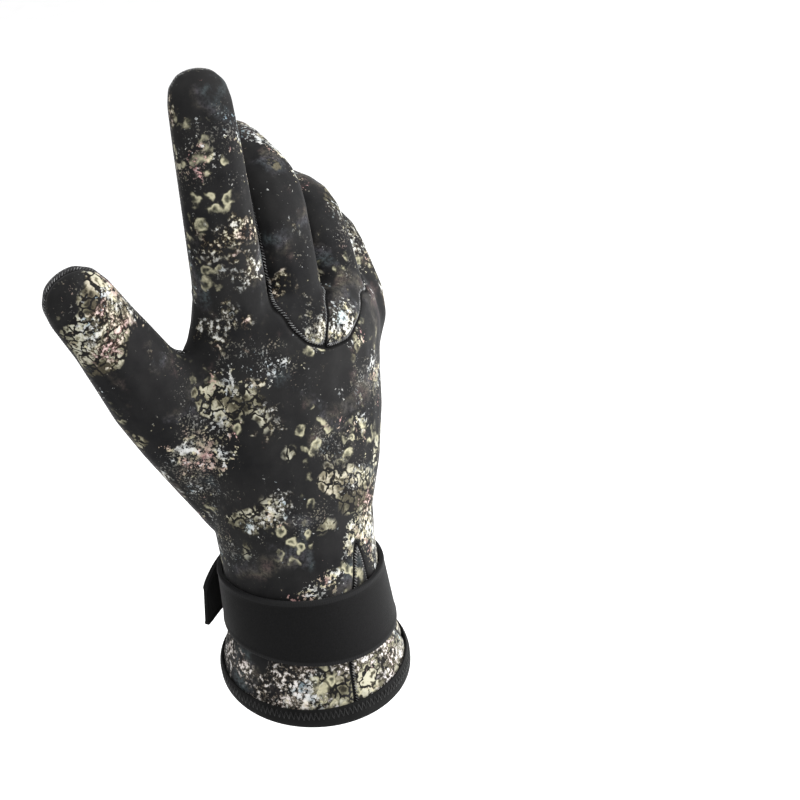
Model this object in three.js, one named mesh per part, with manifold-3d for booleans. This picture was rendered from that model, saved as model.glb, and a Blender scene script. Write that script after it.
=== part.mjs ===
// A neoprene diving glove for the right hand, in millimetres, as it sits on a hand that points with its first finger.
// +Z runs from the cuff to the fingertips, -Y comes out of the back of the hand, and -X is the thumb's side.
// The origin is the middle of the cuff's mouth, where the wrist goes in.
import * as THREE from "three";
import Module from "manifold-3d";

const wasm = await Module();
wasm.setup();

// Walls and seams
const wall = 3; // neoprene with its nylon face
const seamGap = 0.3; // between two panels, and between a panel and what lies on it
const cutterMargin = 0.25; // how far a panel's cutter reaches out of the skin beside it
const cutterReach = 3; // and out of the skin in front of it
const seamRise = 0.55; // the seam on the thumb's side lies this share of the half depth towards the palm

// Cuff
const hemWidth = 73.5;
const hemDepth = 72;
const hemDip = 6.5; // the back of the hem hangs this much lower than its middle
const wristWidth = 61;
const wristDepth = 56.5;
const wristHeight = 52;

// Hand
const palmWidth = 88;
const palmDepth = 39;
const palmArch = 19; // how far the little finger's edge of the palm lies behind its middle
const archShare = 0.3; // of that at the first finger's edge
const webHeight = 154;
const webFall = 9; // how far its little finger's side lies below that, and the first finger's side above it
const knuckleHeight = 146;
const handShift = 18; // the knuckles stand this far over to the little finger's side
const handLean = 4; // and this far over to the palm's side
const handSides = 32;
const halfSteps = 8; // across a cutter of the palm's side

// Fingers. Where a finger's knuckle stands as a share of the palm's width, how far it is lifted, how far its back is
// turned about the hand, its splay, how far each joint bends, its bones' lengths and its thickness.
const fingers = {
  index: {
    across: -0.3, lift: 2, turn: -24, splay: 0.5, bends: [0, 4, 4], bones: [43, 26, 26],
    width: 28, depth: 25, tipWidth: 23, tipDepth: 19,
  },
  middle: {
    across: -0.035, lift: 2, turn: 0, splay: 7, bends: [14, 54, 44], bones: [45, 30, 26],
    width: 25, depth: 23, tipWidth: 21.5, tipDepth: 18.5,
  },
  ring: {
    across: 0.22, lift: -6, turn: 3, splay: 8, bends: [23, 62, 42], bones: [38.5, 28, 25],
    width: 23.5, depth: 22, tipWidth: 20.5, tipDepth: 18,
  },
  little: {
    across: 0.412, lift: -15, turn: 8, splay: 9, bends: [31, 60, 40], bones: [33.5, 22, 22],
    width: 21.5, depth: 20, tipWidth: 18.5, tipDepth: 16,
  },
};
const bendRadius = 16;
const bendStep = 21; // degrees of a bend between two sections
const rootLength = 20; // how far a finger's form reaches back into the hand
const rootTaper = 0.72; // how much narrower it starts there
const fingerSides = 14;
const fingerSquare = 2.3;

// Thumb
const thumbLength = 126;
const thumbWidth = 28;
const thumbDepth = 24;
const thumbTurn = -14; // its back is turned this far about the hand
const thumbSplay = 27; // from the hand's up direction to the thumb's side
const thumbRise = 21; // its root lies this far above the wrist
const thumbSquare = 2.2;

// Round tips: the angles of a tip's sections, and how full the tip is
const tipAngles = [30, 58, 80];
const tipFullness = 0.85;

// Seams
const palmSeamHeight = 70; // where the palm's lower seam crosses the middle of the palm
const gussetHeight = 62;
const gussetInset = 8; // the gusset ends this far behind the middle of the cuff
const insertDrop = 19; // how far the round seam of the two fingers' backs reaches below the webs
const insertInset = 9; // and how far in front of the palm's middle it cuts
const backMargin = 1; // the cutter of a finger's back is this much wider than its finger

// Strap
const strapWidth = 25;
const strapThickness = 1.7;
const strapMiddle = 34.5;
const strapStart = 60; // degrees about the cuff from the little finger's side towards the palm
const strapEnd = 504;
const strapStep = 8;
const strapSlant = 2.8; // its thumb's side stands this much higher than its middle
const strapDip = 2; // its back hangs this much lower
const strapClearance = 0.5; // from the cuff, and from the strap's own start under its end
const tabLift = 5; // how far the strap's free end stands off
const tabSag = 9; // and how far it hangs down

// Hem band
const bandHeight = 6.2;
const bandThickness = 1.4;

const radians = THREE.MathUtils.degToRad;
const mix = THREE.MathUtils.lerp;

// A closed body with the given points and faces, turned right side out
function closed(points, faces) {
  const body = () =>
    new wasm.Manifold(
      new wasm.Mesh({
        numProp: 3,
        vertProperties: new Float32Array(points.flatMap((p) => p.toArray())),
        triVerts: new Uint32Array(faces),
      }),
    );
  const solid = body();
  if (solid.volume() > 0) return solid;
  for (let i = 0; i < faces.length; i += 3) [faces[i + 1], faces[i + 2]] = [faces[i + 2], faces[i + 1]];
  return body();
}

// The faces between each ring of points and the next
function sleeveFaces(count, sides, round) {
  const faces = [];
  for (let i = 0; i < (round ? count : count - 1); i++)
    for (let j = 0; j < sides; j++) {
      const next = (j + 1) % sides;
      const above = ((i + 1) % count) * sides;
      faces.push(i * sides + j, i * sides + next, above + next);
      faces.push(i * sides + j, above + next, above + j);
    }
  return faces;
}

// A body through rings of points that all have the same number of points, with flat ends
function loft(rings) {
  const sides = rings[0].length;
  const middleOf = (ring) => ring.reduce((sum, p) => sum.add(p), new THREE.Vector3()).divideScalar(sides);
  const points = [...rings.flat(), middleOf(rings[0]), middleOf(rings.at(-1))];
  const faces = sleeveFaces(rings.length, sides, false);
  const last = (rings.length - 1) * sides;
  for (let j = 0; j < sides; j++) {
    const next = (j + 1) % sides;
    faces.push(points.length - 2, next, j);
    faces.push(points.length - 1, last + j, last + next);
  }
  return closed(points, faces);
}

// A body through rings that close on themselves
const hoop = (rings) => closed(rings.flat(), sleeveFaces(rings.length, rings[0].length, true));

const united = (solids) => solids.reduce((sum, s) => sum.add(s));
const largest = (solid) => solid.decompose().reduce((best, s) => (s.volume() > best.volume() ? s : best));

// A value read from a table's column between the two rows on either side of a place
function between(rows, key, column, at) {
  const i = Math.max(1, rows.findIndex((row, k) => k > 0 && (row[key] >= at || k === rows.length - 1)));
  const [low, high] = [rows[i - 1], rows[i]];
  return mix(low[column], high[column], (at - low[key]) / (high[key] - low[key]));
}

// The outline of a section: an ellipse, squarer as its power goes above 2
function outline(angle, halfWidth, halfDepth, power) {
  const bend = (value) => Math.sign(value) * Math.abs(value) ** (2 / power);
  return [halfWidth * bend(Math.cos(angle)), halfDepth * bend(Math.sin(angle))];
}

// The cuff's rows, from the wrist down to the hem
const cuffRows = [
  { drop: 0, flare: 0 },
  { drop: 0.25, flare: 0.02 },
  { drop: 0.55, flare: 0.14 },
  { drop: 0.7, flare: 0.5 },
  { drop: 0.85, flare: 0.82 },
  { drop: 1, flare: 1 },
];
// The hand's rows, from the wrist up to the webs between the fingers
const handRows = [
  { rise: 0, shift: 0, lean: 0, widen: 0, thin: 0, arch: 0, tilt: 0, square: 2 },
  { rise: 0.14, shift: 0.04, lean: 0.14, widen: 0.09, thin: 0.14, arch: 0, tilt: 0, square: 2.05 },
  { rise: 0.3, shift: 0.26, lean: 0.3, widen: 0.44, thin: 0.36, arch: 0.14, tilt: 0.05, square: 2.15 },
  { rise: 0.48, shift: 0.48, lean: 0.48, widen: 0.82, thin: 0.6, arch: 0.5, tilt: 0.2, square: 2.25 },
  { rise: 0.65, shift: 0.72, lean: 0.65, widen: 1.02, thin: 0.84, arch: 0.9, tilt: 0.5, square: 2.35 },
  { rise: 0.82, shift: 0.96, lean: 0.8, widen: 1.02, thin: 1.08, arch: 1, tilt: 0.8, square: 2.4 },
  { rise: 0.93, shift: 1.05, lean: 1.1, widen: 0.94, thin: 1.4, arch: 1, tilt: 1, square: 2.3 },
  { rise: 1, shift: 1.1, lean: 1.7, widen: 0.75, thin: 1.8, arch: 1, tilt: 1, square: 2.1 },
];

// How the palm's arch grows from its middle to an edge
const bowAt = (share) => share ** 2 * (share > 0 ? 1 : archShare);

// A place on the cuff's skin, a given way above the hem
function cuffPoint(angle, above, grow) {
  const drop = 1 - above / wristHeight;
  const flare = between(cuffRows, "drop", "flare", Math.min(drop, 1));
  const halfWidth = mix(wristWidth, hemWidth, flare) / 2;
  const halfDepth = mix(wristDepth, hemDepth, flare) / 2;
  const [x, y] = outline(angle, halfWidth + grow, halfDepth + grow, 2);
  return new THREE.Vector3(x, y, above + (hemDip * drop * y) / halfDepth);
}

// A row of the hand with its sizes in millimetres
function handRow({ rise, shift, lean, widen, thin, arch, tilt, square }, grow) {
  return {
    height: mix(wristHeight, webHeight + Math.min(grow, 0), rise),
    shift: handShift * shift,
    lean: handLean * lean,
    halfWidth: mix(wristWidth, palmWidth, widen) / 2,
    halfDepth: mix(wristDepth, palmDepth, thin) / 2,
    arch: palmArch * arch,
    fall: webFall * tilt,
    square,
  };
}

// A place in a row of the hand, from its x and y within the row
function handPoint(row, x, y) {
  const share = x / row.halfWidth;
  return new THREE.Vector3(x + row.shift, y + row.lean + row.arch * bowAt(share), row.height - row.fall * share);
}

// The hand without its fingers. grow moves its whole skin outwards, or inwards where it is negative.
function handForm(grow) {
  const angles = Array.from({ length: handSides }, (_, j) => (2 * Math.PI * j) / handSides);
  const heights = cuffRows.slice(1).map(({ drop }) => wristHeight * (1 - drop));
  if (grow < 0) heights.push(-2 * wall); // an inner form runs out through the hem
  const cuffRings = heights.reverse().map((above) => angles.map((angle) => cuffPoint(angle, above, grow)));
  const handRings = handRows.map((entry) => {
    const row = handRow(entry, grow);
    return angles.map((angle) =>
      handPoint(row, ...outline(angle, row.halfWidth + grow, row.halfDepth + grow, row.square)),
    );
  });
  return loft([...cuffRings, ...handRings]);
}

// Where a finger's knuckle stands
function knuckleOf(finger) {
  const rise = (knuckleHeight - wristHeight) / (webHeight - wristHeight);
  const x = finger.across * palmWidth;
  const y = handLean * rise + palmArch * bowAt(x / (palmWidth / 2));
  return new THREE.Vector3(x + handShift, y, knuckleHeight + finger.lift);
}

// The line down the middle of a finger: stations with a place, a bend and the length travelled
function fingerLine(finger) {
  const turn = radians(finger.turn);
  const across = new THREE.Vector3(Math.cos(turn), Math.sin(turn), 0);
  const palmward = new THREE.Vector3(-Math.sin(turn), Math.cos(turn), 0);
  const knuckle = knuckleOf(finger);
  const splay = radians(finger.splay);
  const aim = new THREE.Vector3(0, 0, Math.cos(splay)).addScaledVector(across, Math.sin(splay));
  const side = new THREE.Vector3().crossVectors(palmward, aim).normalize();
  const heading = (bend) =>
    aim.clone().multiplyScalar(Math.cos(radians(bend))).addScaledVector(palmward, Math.sin(radians(bend)));

  let travelled = 0;
  let bend = 0;
  let leftover = 0;
  let corner = knuckle.clone().addScaledVector(aim, -rootLength);
  const stations = [{ place: corner.clone(), bend, travelled }];
  [rootLength, ...finger.bones].forEach((leg, i) => {
    corner = corner.clone().addScaledVector(heading(bend), leg);
    if (i === finger.bones.length) {
      travelled += leg - leftover;
      stations.push({ place: corner.clone(), bend, travelled });
      return;
    }
    const turnBy = finger.bends[i];
    const cut = bendRadius * Math.tan(radians(turnBy) / 2);
    const centre = corner
      .clone()
      .addScaledVector(heading(bend), -cut)
      .addScaledVector(heading(bend + 90), bendRadius);
    const arc = bendRadius * radians(turnBy);
    const steps = Math.max(1, Math.round(turnBy / bendStep));
    travelled += leg - leftover - cut;
    for (let k = 0; k <= steps; k++) {
      const now = bend + (turnBy * k) / steps;
      stations.push({
        place: centre.clone().addScaledVector(heading(now + 90), -bendRadius),
        bend: now,
        travelled: travelled + (arc * k) / steps,
      });
      if (arc === 0) break;
    }
    travelled += arc;
    leftover = cut;
    bend += turnBy;
  });
  return { stations, side, heading, length: travelled };
}

// A finger's sections: each with its place, its two directions and its half sizes
function fingerSections(finger, grow) {
  const { stations, side, heading, length } = fingerLine(finger);
  const dome = finger.tipWidth / 2;
  const halves = (travelled) => {
    const share = Math.max(0, travelled - rootLength) / (length - rootLength);
    const taper = mix(rootTaper, 1, Math.min(travelled / rootLength, 1) ** 0.5);
    return [
      (taper * mix(finger.width, finger.tipWidth, share)) / 2 + grow,
      (taper * mix(finger.depth, finger.tipDepth, share)) / 2 + grow,
    ];
  };
  const section = (place, bend, [halfWidth, halfDepth]) => ({
    place, side, through: heading(bend + 90), halfWidth, halfDepth, square: fingerSquare,
  });
  const tip = stations.at(-1);
  const sections = stations.slice(0, -1).map(({ place, bend, travelled }) => section(place, bend, halves(travelled)));
  [0, ...tipAngles].forEach((angle) => {
    const along = -dome + (dome + grow) * Math.sin(radians(angle));
    const shrink = Math.cos(radians(angle)) ** tipFullness;
    const place = tip.place.clone().addScaledVector(heading(tip.bend), along);
    sections.push(section(place, tip.bend, halves(length).map((half) => half * shrink)));
  });
  return sections;
}

// The thumb's rows, from inside the palm to the tip: its width and depth as shares of the thumb's own
const thumbRows = [
  { along: 0, width: 1.2, depth: 1.3 },
  { along: 0.19, width: 1.26, depth: 1.3 },
  { along: 0.38, width: 1.3, depth: 1.22 },
  { along: 0.52, width: 1.27, depth: 1.12 },
  { along: 0.64, width: 1.13, depth: 1.05 },
  { along: 0.76, width: 1, depth: 1 },
  { along: 0.89, width: 0.94, depth: 0.93 },
];

const thumbRoot = new THREE.Vector3(-0.2 * wristWidth, 0.23 * wristDepth, wristHeight + thumbRise);
const thumbAim = new THREE.Vector3(-Math.sin(radians(thumbSplay)), 0, Math.cos(radians(thumbSplay)));

function thumbSections(grow) {
  const turn = radians(thumbTurn);
  const back = new THREE.Vector3(Math.sin(turn), -Math.cos(turn), 0);
  const side = new THREE.Vector3().crossVectors(thumbAim, back).normalize();
  const through = new THREE.Vector3().crossVectors(side, thumbAim).normalize();
  const section = (along, halfWidth, halfDepth) => ({
    place: thumbRoot.clone().addScaledVector(thumbAim, along), side, through, halfWidth, halfDepth, square: thumbSquare,
  });
  const sections = thumbRows.map(({ along, width, depth }) =>
    section(along * thumbLength, (width * thumbWidth) / 2 + grow, (depth * thumbDepth) / 2 + grow),
  );
  const last = thumbRows.at(-1);
  const { halfWidth, halfDepth } = sections.at(-1);
  const dome = (1 - last.along) * thumbLength;
  tipAngles.forEach((angle) => {
    const along = last.along * thumbLength + (dome + grow) * Math.sin(radians(angle));
    const shrink = Math.cos(radians(angle)) ** tipFullness;
    sections.push(section(along, halfWidth * shrink, halfDepth * shrink));
  });
  return sections;
}

// The body through a finger's sections
const sectionsForm = (sections) =>
  loft(
    sections.map(({ place, side, through, halfWidth, halfDepth, square }) =>
      Array.from({ length: fingerSides }, (_, j) => {
        const [u, v] = outline((2 * Math.PI * j) / fingerSides, halfWidth, halfDepth, square);
        return place.clone().addScaledVector(side, u).addScaledVector(through, v);
      }),
    ),
  );
const fingerForm = (name, grow) => sectionsForm(fingerSections(fingers[name], grow));
const thumbForm = (grow) => sectionsForm(thumbSections(grow));
const gloveForm = (grow) =>
  united([handForm(grow), thumbForm(grow), ...Object.keys(fingers).map((name) => fingerForm(name, grow))]);

// The sections of a cutter for a finger: they run on past its tip. grow makes the cutter larger all round.
function cutterSections(sections, grow) {
  const body = sections.slice(0, -tipAngles.length);
  const end = sections.at(-1).place.clone().sub(body.at(-1).place).normalize();
  const start = body[1].place.clone().sub(body[0].place).normalize();
  return [
    { ...body[0], place: body[0].place.clone().addScaledVector(start, -grow) },
    ...body.slice(1),
    { ...body.at(-1), place: sections.at(-1).place.clone().addScaledVector(end, cutterReach + grow) },
  ];
}

// One side of a finger: from its middle plane out through the skin of its palm's side, or of its back where sign is
// negative.
const halfForm = (sections, grow, sign) =>
  loft(
    cutterSections(sections, grow).map(({ place, side, through, halfWidth, halfDepth }) =>
      [
        [-1, -grow],
        [1, -grow],
        [1, halfDepth + cutterReach + grow],
        [-1, halfDepth + cutterReach + grow],
      ].map(([u, v]) =>
        place
          .clone()
          .addScaledVector(side, u * (halfWidth + cutterMargin + grow))
          .addScaledVector(through, sign * v),
      ),
    ),
  );

// The palm's side of the cuff and hand
function handHalf(grow) {
  const across = Array.from({ length: halfSteps + 1 }, (_, j) => -1 + (2 * j) / halfSteps);
  const margin = cutterMargin + grow;
  const ringOf = (place, halfWidth, halfDepth) => [
    ...across.map((share) =>
      place(share * (halfWidth + margin), seamRise * halfDepth * Math.min(share, 0) ** 2 - grow),
    ),
    ...across.toReversed().map((share) => place(share * (halfWidth + margin), halfDepth + cutterReach + grow)),
  ];
  const cuffRings = cuffRows
    .slice(1)
    .reverse()
    .map(({ drop, flare }) => {
      const halfWidth = mix(wristWidth, hemWidth, flare) / 2;
      const halfDepth = mix(wristDepth, hemDepth, flare) / 2;
      const height = wristHeight * (1 - drop) - (drop === 1 ? hemDip : 0);
      return ringOf((x, y) => new THREE.Vector3(x, y, height), halfWidth, halfDepth);
    });
  const handRings = handRows.map((entry) => {
    const row = handRow(entry, 0);
    if (entry.rise === 1) row.height += cutterReach + grow;
    return ringOf((x, y) => handPoint(row, x, y), row.halfWidth, row.halfDepth);
  });
  return loft([...cuffRings, ...handRings]);
}

// A body between two depths whose outline is given by places seen from the back of the hand
const prism = (places, near, far) =>
  loft([near, far].map((y) => places.map(([x, z]) => new THREE.Vector3(x, y, z))));

// The two halves of the glove
const shell = gloveForm(0).subtract(gloveForm(-wall));
const palmCutter = (grow) =>
  united([
    handHalf(grow),
    halfForm(thumbSections(0), grow, -1),
    ...Object.values(fingers).map((finger) => halfForm(fingerSections(finger, 0), grow, 1)),
  ]);
const palmSide = shell.intersect(palmCutter(-seamGap / 2));
const backSide = shell.subtract(palmCutter(seamGap / 2));

// The palm's side has a panel of its own below a curved seam. Across as shares of the palm's width, up as shares of
// the seam's height.
const palmSeamRows = [
  { across: -1.2, up: 1.32 },
  { across: -0.36, up: 1.21 },
  { across: -0.18, up: 1.08 },
  { across: 0, up: 1 },
  { across: 0.18, up: 0.965 },
  { across: 0.36, up: 0.95 },
  { across: 1.2, up: 0.95 },
];
const abovePalmSeam = (grow) =>
  prism(
    [
      ...palmSeamRows.map(({ across, up }) => [across * palmWidth, up * palmSeamHeight - grow]),
      [1.2 * palmWidth, 2 * webHeight],
      [-1.2 * palmWidth, 2 * webHeight],
    ],
    -palmWidth,
    palmWidth,
  );
const palmPanel = largest(palmSide.intersect(abovePalmSeam(-seamGap / 2)));
const cuffPalmPanel = largest(palmSide.subtract(abovePalmSeam(seamGap / 2)));

// The gusset in the cuff's back widens downwards from one point. Down as shares of its height, and its two edges as
// shares of the hem's width.
const gussetRows = [
  { down: 0, left: 0.146, right: 0.148 },
  { down: 0.11, left: 0.109, right: 0.168 },
  { down: 0.36, left: 0.06, right: 0.196 },
  { down: 0.64, left: -0.014, right: 0.27 },
  { down: 0.82, left: -0.05, right: 0.36 },
  { down: 1, left: -0.074, right: 0.45 },
  { down: 1.22, left: -0.1, right: 0.52 },
];
const gussetPoint = 6; // the slim top draws back this many times further than the sides, so its gap stays open
const gussetForm = (grow) => {
  const places = (side, sign) =>
    gussetRows.map((row) => [row[side] * hemWidth + sign * grow, gussetHeight * (1 - row.down)]);
  const top = [gussetRows[0].left * hemWidth, gussetHeight + gussetPoint * grow];
  return prism([top, ...places("right", 1), ...places("left", -1).toReversed()], -hemDepth, grow - gussetInset);
};

// The backs of the middle and ring fingers are sewn into the back of the hand with a round seam. Across as shares of
// its half width from between the two knuckles, up as shares of its drop from the webs.
const insertRows = [
  { across: -0.9, up: 0.32 },
  { across: -1.04, up: 0 },
  { across: -0.995, up: -0.37 },
  { across: -0.79, up: -0.73 },
  { across: -0.44, up: -0.97 },
  { across: 0.02, up: -1 },
  { across: 0.456, up: -0.79 },
  { across: 0.78, up: -0.53 },
  { across: 0.986, up: -0.21 },
  { across: 0.917, up: 0.32 },
];
const [middleKnuckle, ringKnuckle] = [knuckleOf(fingers.middle), knuckleOf(fingers.ring)];
const insertMiddle = (middleKnuckle.x + ringKnuckle.x) / 2;
const insertHalf = (ringKnuckle.x - middleKnuckle.x) / 2 + 0.22 * (fingers.middle.width + fingers.ring.width);
const insertPlaces = (rows) =>
  rows.map(({ across, up }) => [insertMiddle + across * insertHalf, webHeight + up * insertDrop]);
const insertRound = (grow) =>
  prism(
    insertPlaces(insertRows).map(([x, z]) => [
      x + grow * Math.sign(x - insertMiddle),
      z + grow * Math.sign(z - webHeight),
    ]),
    -palmDepth,
    insertInset + grow,
  );
const aboveKnuckle = (name, grow) => sectionsForm(fingerSections(fingers[name], grow).slice(1));
const fingerBack = (name, grow) => halfForm(fingerSections(fingers[name], 0).slice(2), backMargin + grow, -1);
const insertForm = (grow) =>
  united([insertRound(grow), fingerBack("middle", grow), fingerBack("ring", grow)])
    .subtract(aboveKnuckle("index", -grow))
    .subtract(aboveKnuckle("little", -grow));

// The seam between the two backs runs up from the round seam to where the fingers part.
const ringSideRows = [
  { across: -0.52, up: -1.8 },
  { across: -0.49, up: -0.95 },
  { across: -0.05, up: -0.1 },
  { across: 1.6, up: -0.1 },
  { across: 1.6, up: -1.8 },
];
const ringSideForm = (grow) =>
  united([
    prism(
      insertPlaces(ringSideRows).map(([x, z]) => [x - grow, z + grow]),
      -palmDepth,
      palmDepth / 2 + grow,
    ),
    fingerForm("ring", cutterMargin + grow),
  ]);
const insert = backSide.intersect(insertForm(-seamGap / 2));
const middleBack = largest(insert.subtract(ringSideForm(seamGap / 2)));
const ringBack = largest(insert.intersect(ringSideForm(-seamGap / 2)));
const aroundInsert = backSide.subtract(insertForm(seamGap / 2));
const backPanel = largest(aroundInsert.subtract(gussetForm(seamGap / 2)));
const gusset = largest(aroundInsert.intersect(gussetForm(-seamGap / 2)));

// The hem band is a folded strip over the cuff's lower edge. Each fold lies this far out from the skin and this far up
// from the hem.
const bandOutside = seamGap + bandThickness;
const bandInside = -wall - seamGap - bandThickness;
const bandOutline = [
  { out: seamGap, up: bandHeight },
  { out: bandOutside - 0.25 * bandThickness, up: bandHeight },
  { out: bandOutside, up: bandHeight - 0.5 * bandThickness },
  { out: bandOutside, up: 0.4 * bandThickness },
  { out: bandOutside - 0.6 * bandThickness, up: -0.85 * bandThickness },
  { out: -wall / 2, up: -seamGap - bandThickness },
  { out: bandInside + 0.6 * bandThickness, up: -0.85 * bandThickness },
  { out: bandInside, up: 0.4 * bandThickness },
  { out: bandInside, up: bandHeight - 0.5 * bandThickness },
  { out: -wall - seamGap, up: bandHeight },
  { out: -wall - seamGap, up: -seamGap },
  { out: seamGap, up: -seamGap },
];
const hemBand = hoop(
  Array.from({ length: handSides }, (_, k) => {
    const angle = (2 * Math.PI * k) / handSides;
    return bandOutline.map(({ out, up }) => cuffPoint(angle, up, out));
  }),
);

// The strap goes once around the wrist and on over its own start. Its end stands off as a pull tab. At is in degrees
// about the cuff, lift adds to the strap's clearance, and sag is a share of the tab's.
const overlap = strapThickness + strapClearance;
const strapRows = [
  { at: strapStart, lift: 0, widen: 1, sag: 0 },
  { at: strapStart + 320, lift: 0, widen: 1, sag: 0 },
  { at: strapStart + 350, lift: overlap, widen: 1, sag: 0 },
  { at: strapEnd - 32, lift: overlap, widen: 1, sag: 0.14 },
  { at: strapEnd - 24, lift: overlap + 0.04 * tabLift, widen: 1, sag: 0.31 },
  { at: strapEnd - 16, lift: overlap + 0.28 * tabLift, widen: 0.99, sag: 0.51 },
  { at: strapEnd - 8, lift: overlap + 0.6 * tabLift, widen: 0.94, sag: 0.74 },
  { at: strapEnd, lift: overlap + tabLift, widen: 0.84, sag: 1 },
];
const strapStations = [];
for (let angle = strapStart; angle < strapEnd; angle += strapStep) strapStations.push(angle);
strapStations.push(strapEnd);
const strapOutline = [
  { out: 0, up: -0.46 },
  { out: 0.18, up: -0.5 },
  { out: 0.82, up: -0.5 },
  { out: 1, up: -0.46 },
  { out: 1, up: 0.46 },
  { out: 0.82, up: 0.5 },
  { out: 0.18, up: 0.5 },
  { out: 0, up: 0.46 },
];
const strap = loft(
  strapStations.map((degrees) => {
    const angle = radians(degrees);
    const [lift, widen, sag] = ["lift", "widen", "sag"].map((column) => between(strapRows, "at", column, degrees));
    const middle = strapMiddle - strapSlant * Math.cos(angle) + strapDip * Math.sin(angle) - sag * tabSag;
    return strapOutline.map(({ out, up }) =>
      cuffPoint(angle, middle + up * strapWidth * widen, strapClearance + lift + out * strapThickness),
    );
  }),
);

// A named mesh of a solid
function piece(name, solid, colour, roughness) {
  const made = solid.getMesh();
  const geometry = new THREE.BufferGeometry();
  const positions = new Float32Array(made.numVert * 3);
  for (let i = 0; i < made.numVert; i++)
    positions.set(made.vertProperties.subarray(i * made.numProp, i * made.numProp + 3), i * 3);
  geometry.setAttribute("position", new THREE.BufferAttribute(positions, 3));
  geometry.setIndex(new THREE.BufferAttribute(made.triVerts, 1));
  const mesh = new THREE.Mesh(geometry, new THREE.MeshStandardMaterial({ color: colour, roughness, metalness: 0 }));
  mesh.name = name;
  return mesh;
}

const neoprene = { print: 0x4a4a40, plain: 0x1f2021, band: 0x151516, strap: 0x18191a };
const pieces = [
  ["back_panel", backPanel, neoprene.print, 0.85],
  ["middle_finger_back", middleBack, neoprene.print, 0.85],
  ["ring_finger_back", ringBack, neoprene.print, 0.85],
  ["palm_panel", palmPanel, neoprene.plain, 0.8],
  ["cuff_palm_panel", cuffPalmPanel, neoprene.print, 0.85],
  ["cuff_gusset", gusset, neoprene.print, 0.85],
  ["hem_band", hemBand, neoprene.band, 0.7],
  ["wrist_strap", strap, neoprene.strap, 0.65],
];
const glove = new THREE.Group();
for (const entry of pieces) glove.add(piece(...entry));
export default glove;
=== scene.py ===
"""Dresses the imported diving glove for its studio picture.

The glove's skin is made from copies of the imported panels: they are fused, smoothed as stretched neoprene is,
cut apart again along their seams, and given a wall. The strap, the hem band and the stitches follow the
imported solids.
"""

import logging
import math
from dataclasses import dataclass, field
from enum import Enum

import bpy
import numpy as np
from mathutils import Matrix, Vector
from mathutils.bvhtree import BVHTree
from mathutils.geometry import barycentric_transform


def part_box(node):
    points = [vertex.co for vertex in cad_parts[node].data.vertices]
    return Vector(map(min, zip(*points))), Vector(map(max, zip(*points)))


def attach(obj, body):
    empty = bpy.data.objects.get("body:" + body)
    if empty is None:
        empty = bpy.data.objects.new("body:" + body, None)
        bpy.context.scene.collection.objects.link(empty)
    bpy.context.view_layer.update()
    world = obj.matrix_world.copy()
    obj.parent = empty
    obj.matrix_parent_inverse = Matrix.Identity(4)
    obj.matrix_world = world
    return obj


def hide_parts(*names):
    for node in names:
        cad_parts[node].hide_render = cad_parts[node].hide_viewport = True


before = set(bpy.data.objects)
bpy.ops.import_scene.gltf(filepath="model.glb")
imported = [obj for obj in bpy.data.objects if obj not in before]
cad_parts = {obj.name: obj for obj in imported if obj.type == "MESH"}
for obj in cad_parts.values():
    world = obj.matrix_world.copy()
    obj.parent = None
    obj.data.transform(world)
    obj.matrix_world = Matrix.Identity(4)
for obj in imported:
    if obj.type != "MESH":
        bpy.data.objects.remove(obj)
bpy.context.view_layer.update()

MM = 0.001
SAME_PLACE = 0.01 * MM
BODY = "root"
BACK_PANELS = ("back_panel", "middle_finger_back", "ring_finger_back", "cuff_gusset")
PALM_PANELS = ("palm_panel", "cuff_palm_panel")
PANELS = BACK_PANELS + PALM_PANELS
SEAM_EDGE_MM = (0.55, 1.15)
SEAM_BLACK = (0.002, 0.002, 0.002)

log = logging.getLogger("glove")


class Slot(Enum):
    """The record's material slots."""

    PRINT = "printed_neoprene"
    GRIP = "grip_neoprene"
    BAND = "edge_band"
    STRAP = "strap_webbing"


def select_only(*objects: bpy.types.Object) -> None:
    """Selects these objects alone and makes the first one active.

    Args:
        objects: The objects to select.
    """
    if bpy.context.object is not None and bpy.context.object.mode != "OBJECT":
        bpy.ops.object.mode_set(mode="OBJECT")
    bpy.ops.object.select_all(action="DESELECT")
    for thing in objects:
        thing.select_set(True)
    bpy.context.view_layer.objects.active = objects[0]


def copy_of(node: str, name: str) -> bpy.types.Object:
    """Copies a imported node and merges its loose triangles.

    Args:
        node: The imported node's name.
        name: The copy's name.

    Returns:
        The copy, as an object of its own.
    """
    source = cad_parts[node]
    copy = bpy.data.objects.new(name, source.data.copy())
    bpy.context.scene.collection.objects.link(copy)
    copy.data.materials.clear()
    select_only(copy)
    bpy.ops.object.mode_set(mode="EDIT")
    bpy.ops.mesh.select_all(action="SELECT")
    bpy.ops.mesh.remove_doubles(threshold=SAME_PLACE)
    bpy.ops.object.mode_set(mode="OBJECT")
    return copy


def new_object(name: str, points: np.ndarray, faces: list) -> bpy.types.Object:
    """Makes a mesh object from points and faces.

    Args:
        name: The object's name.
        points: Its points, in metres.
        faces: Its faces, as lists of point numbers.

    Returns:
        The new object, at the origin.
    """
    mesh = bpy.data.meshes.new(name)
    mesh.from_pydata(points.tolist(), [], faces)
    mesh.update()
    made = bpy.data.objects.new(name, mesh)
    bpy.context.scene.collection.objects.link(made)
    return made


def apply_modifier(thing: bpy.types.Object, kind: str, **settings) -> None:
    """Adds a modifier to an object and applies it.

    Args:
        thing: The object.
        kind: The modifier's type.
        settings: The modifier's settings by name.
    """
    select_only(thing)
    modifier = thing.modifiers.new(kind.lower(), kind)
    for key, value in settings.items():
        setattr(modifier, key, value)
    bpy.ops.object.modifier_apply(modifier=modifier.name)


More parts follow.
